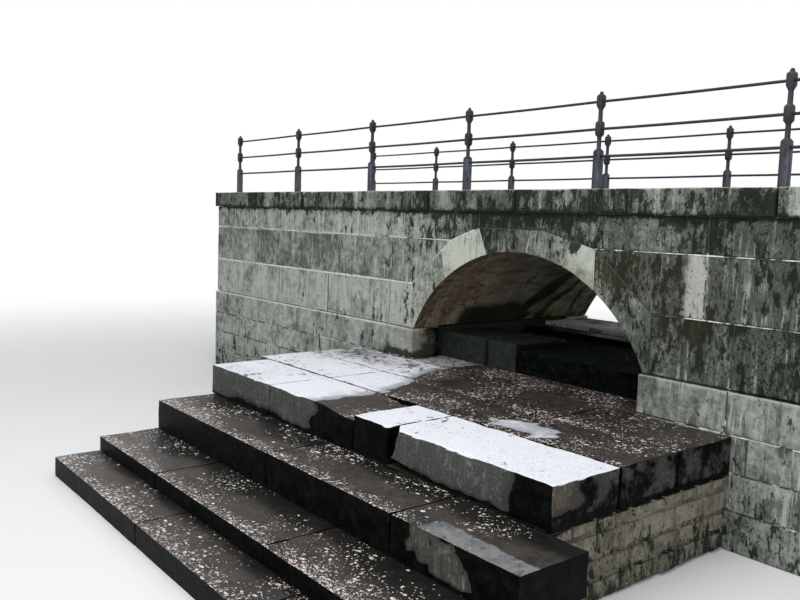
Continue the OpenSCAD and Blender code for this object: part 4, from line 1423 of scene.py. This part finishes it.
def weir_pieces():
    """The weir, the bed behind it and the threshold at the rear."""
    foot, slack, inner = VAULT_FOOT_X, GAP / 2, WIDTH - WALL_T
    flat_piece("weir_sill_stones", "wet_stone", "weir_sill", weir_masks, SILL_Z,
               flat_row(WEIR_Y, SILL_BACK_Y, SILL_X, 0.8, foot), step=0.07, wear=0.02, chips=0.05)
    flat_piece("weir_left_stone", "slab_stone", "weir_left_block", weir_masks, WEIR_Z,
               [(-foot, WEIR_GAP[0], WEIR_Y, WEIR_BACK_Y)], step=0.07, wear=0.016, chips=0.05)
    flat_piece("weir_middle_stone", "slab_stone", "weir_middle_block", weir_masks, WEIR_Z,
               [(WEIR_GAP[1], SILL_X, WEIR_Y, WEIR_BACK_Y)], step=0.04, wear=0.05, chips=0.06,
               shape=worn_corner)
    bed = ((-0.43, 0.9, SILL_BACK_Y, BED_JOINT_Y), (0.9, foot, SILL_BACK_Y, BED_JOINT_Y),
           (-foot, -0.3, WEIR_BACK_Y, BED_BACK_Y), (-0.3, foot, BED_JOINT_Y, BED_BACK_Y))
    flat_piece("bed_stones", "wet_stone", "upper_bed", bed_masks, BED_Z,
               [(x0, x1 - GAP, y0 + slack, y1 - slack) for x0, x1, y0, y1 in bed], step=0.1, wear=0.014)
    flat_piece("lower_bed_stone", "wet_stone", "lower_slab", bed_masks, LOWER_SLAB_Z,
               [(-foot, foot, BED_BACK_Y + slack, THRESHOLD_Y)], wear=0.016, chips=0.06, rough=0.01)
    last = flat_row(THRESHOLD_Y + slack, inner, -foot, 0.4, foot)
    last += flat_row(inner + slack, WIDTH + PLINTH_OUT, -IMPOST_X, -0.2, IMPOST_X)
    flat_piece("threshold_stones", "slab_stone", "rear_threshold", bed_masks, THRESHOLD_Z, last, wear=0.02,
               chips=0.07, rough=0.012)


# Railing. The post's profile: height above the coping, half its width, and how far its corners are rounded.
POST_PROFILE = (
    (0.000, 0.045, 0.004), (0.425, 0.045, 0.004), (0.443, 0.044, 0.005), (0.462, 0.034, 0.014),
    (0.473, 0.027, 0.027), (0.600, 0.026, 0.026), (0.608, 0.027, 0.027), (0.640, 0.040, 0.006),
    (0.766, 0.040, 0.004), (0.785, 0.036, 0.010), (0.798, 0.027, 0.027), (0.918, 0.026, 0.026),
    (0.928, 0.027, 0.027), (0.975, 0.040, 0.006), (1.078, 0.040, 0.004), (1.096, 0.036, 0.010),
    (1.112, 0.022, 0.022), (1.118, 0.0235, 0.0235), (1.130, 0.021, 0.021), (1.138, 0.013, 0.013),
    (1.142, 0.003, 0.003),
)
POST_COUNT = 8
POST_SPACING = 2.25
FIRST_POST = -POST_SPACING * (POST_COUNT - 1) / 2
RAILING_Y = 0.15
BAR_HEIGHTS = (0.383, 0.703, 1.023)
BAR_END = 7.92
BAR_R = 0.016
BAR_STEPS = 140
REAR_SHIFT = -0.49


def rounded_square(half, corner):
    """Points round a square with rounded corners, the same number whatever the corner."""
    points = []
    inner = half - corner
    for k, (sx, sy) in enumerate(((1, 1), (-1, 1), (-1, -1), (1, -1))):
        for m in range(5):
            angle = math.pi / 2 * (k + m / 4)
            points.append((sx * inner + corner * math.cos(angle), sy * inner + corner * math.sin(angle)))
    return points


def railing_pieces(end, flip):
    y = WIDTH - RAILING_Y if flip else RAILING_Y
    shift = REAR_SHIFT if flip else 0.0
    posts = Pile()
    for i in range(POST_COUNT):
        x = FIRST_POST + i * POST_SPACING + shift
        rings = []
        for height, half, corner in POST_PROFILE:
            z = COPING_TOP_Z + height if height else COPING_TOP_Z - 0.002
            rings.append([Vector((x + px, y + py, z)) for px, py in rounded_square(half, corner)])

        def weather(p):
            # Dust and painted highlight on the faces of the lower shafts that look along +X.
            dust_and_highlight = smooth(p.x - x, 0.030, 0.042) * (p.z < COPING_TOP_Z + 0.43)
            return dict(tone=dust_and_highlight, rust=0.7 * smooth(p.z, COPING_TOP_Z + 0.12, COPING_TOP_Z))

        posts.tube(rings, weather)
    posts.piece(f"{end}_railing_posts", "iron", f"{end}_posts")
    bars = Pile()
    turns = [a * math.pi / 6 for a in range(12)]
    for height in BAR_HEIGHTS:
        rings = []
        for i in range(BAR_STEPS + 1):
            x = -BAR_END + shift + i * 2 * BAR_END / BAR_STEPS
            from_first = x - shift - FIRST_POST
            hangs = 0 < from_first < POST_SPACING * (POST_COUNT - 1)
            sag = -0.004 * math.sin(math.pi * (from_first % POST_SPACING) / POST_SPACING) if hangs else 0.0
            z = COPING_TOP_Z + height + sag
            rings.append([Vector((x, y + BAR_R * math.cos(a), z + BAR_R * math.sin(a))) for a in turns])
        bars.tube(rings, lambda p: dict(rust=0.15))
    bars.piece(f"{end}_railing_bars", "iron", f"{end}_rails")


# Everything together

make_camera()
make_lights()
make_floor()
MATERIALS = {
    "wall_stone": stone_material("wall_stone", (174, 178, 170), (76, 82, 75), 0.6),
    "coping_stone": stone_material("coping_stone", (146, 152, 140), (60, 66, 58), 0.7),
    "ring_stone": stone_material("ring_stone", (188, 192, 180), (88, 95, 86), 0.45, render=True),
    # The near white colour of the slabs is painted sunlight on their tops.
    "slab_stone": stone_material("slab_stone", (233, 235, 242), (76, 79, 75), 0.12,
                                 growth=((70, 64, 60), (112, 104, 98)), litter=True),
    "wet_stone": stone_material("wet_stone", (176, 174, 170), (72, 72, 66), 0.25, litter=True),
    "rubble": stone_material("rubble", (142, 138, 124), (84, 82, 72), 0.2, 50.0),
    "mortar": mortar_material(),
    "vault_render": vault_material(),
    "gravel": gravel_material(),
    "iron": iron_material(),
}
SLOTS = {part["node"]: part["material_slot"] for part in frame["record"]["subparts"]}
for name, node in frame["nodes"].items():
    node.data.materials.clear()
    node.data.materials.append(MATERIALS[SLOTS[name]])

for end, flip in (("front", False), ("rear", True)):
    wall_pieces(end, flip)
    ring_pieces(end, flip)
    wall_joints(end, flip)
    railing_pieces(end, flip)
vault_piece()
abutment_pieces()
filling_pieces()
apron_base_piece()
steps_base_piece()
arch_base_piece()
footway_piece()
apron_pieces()
arch_floor_piece()
step_pieces()
weir_pieces()

bpy.context.scene.view_settings.view_transform = "Standard"
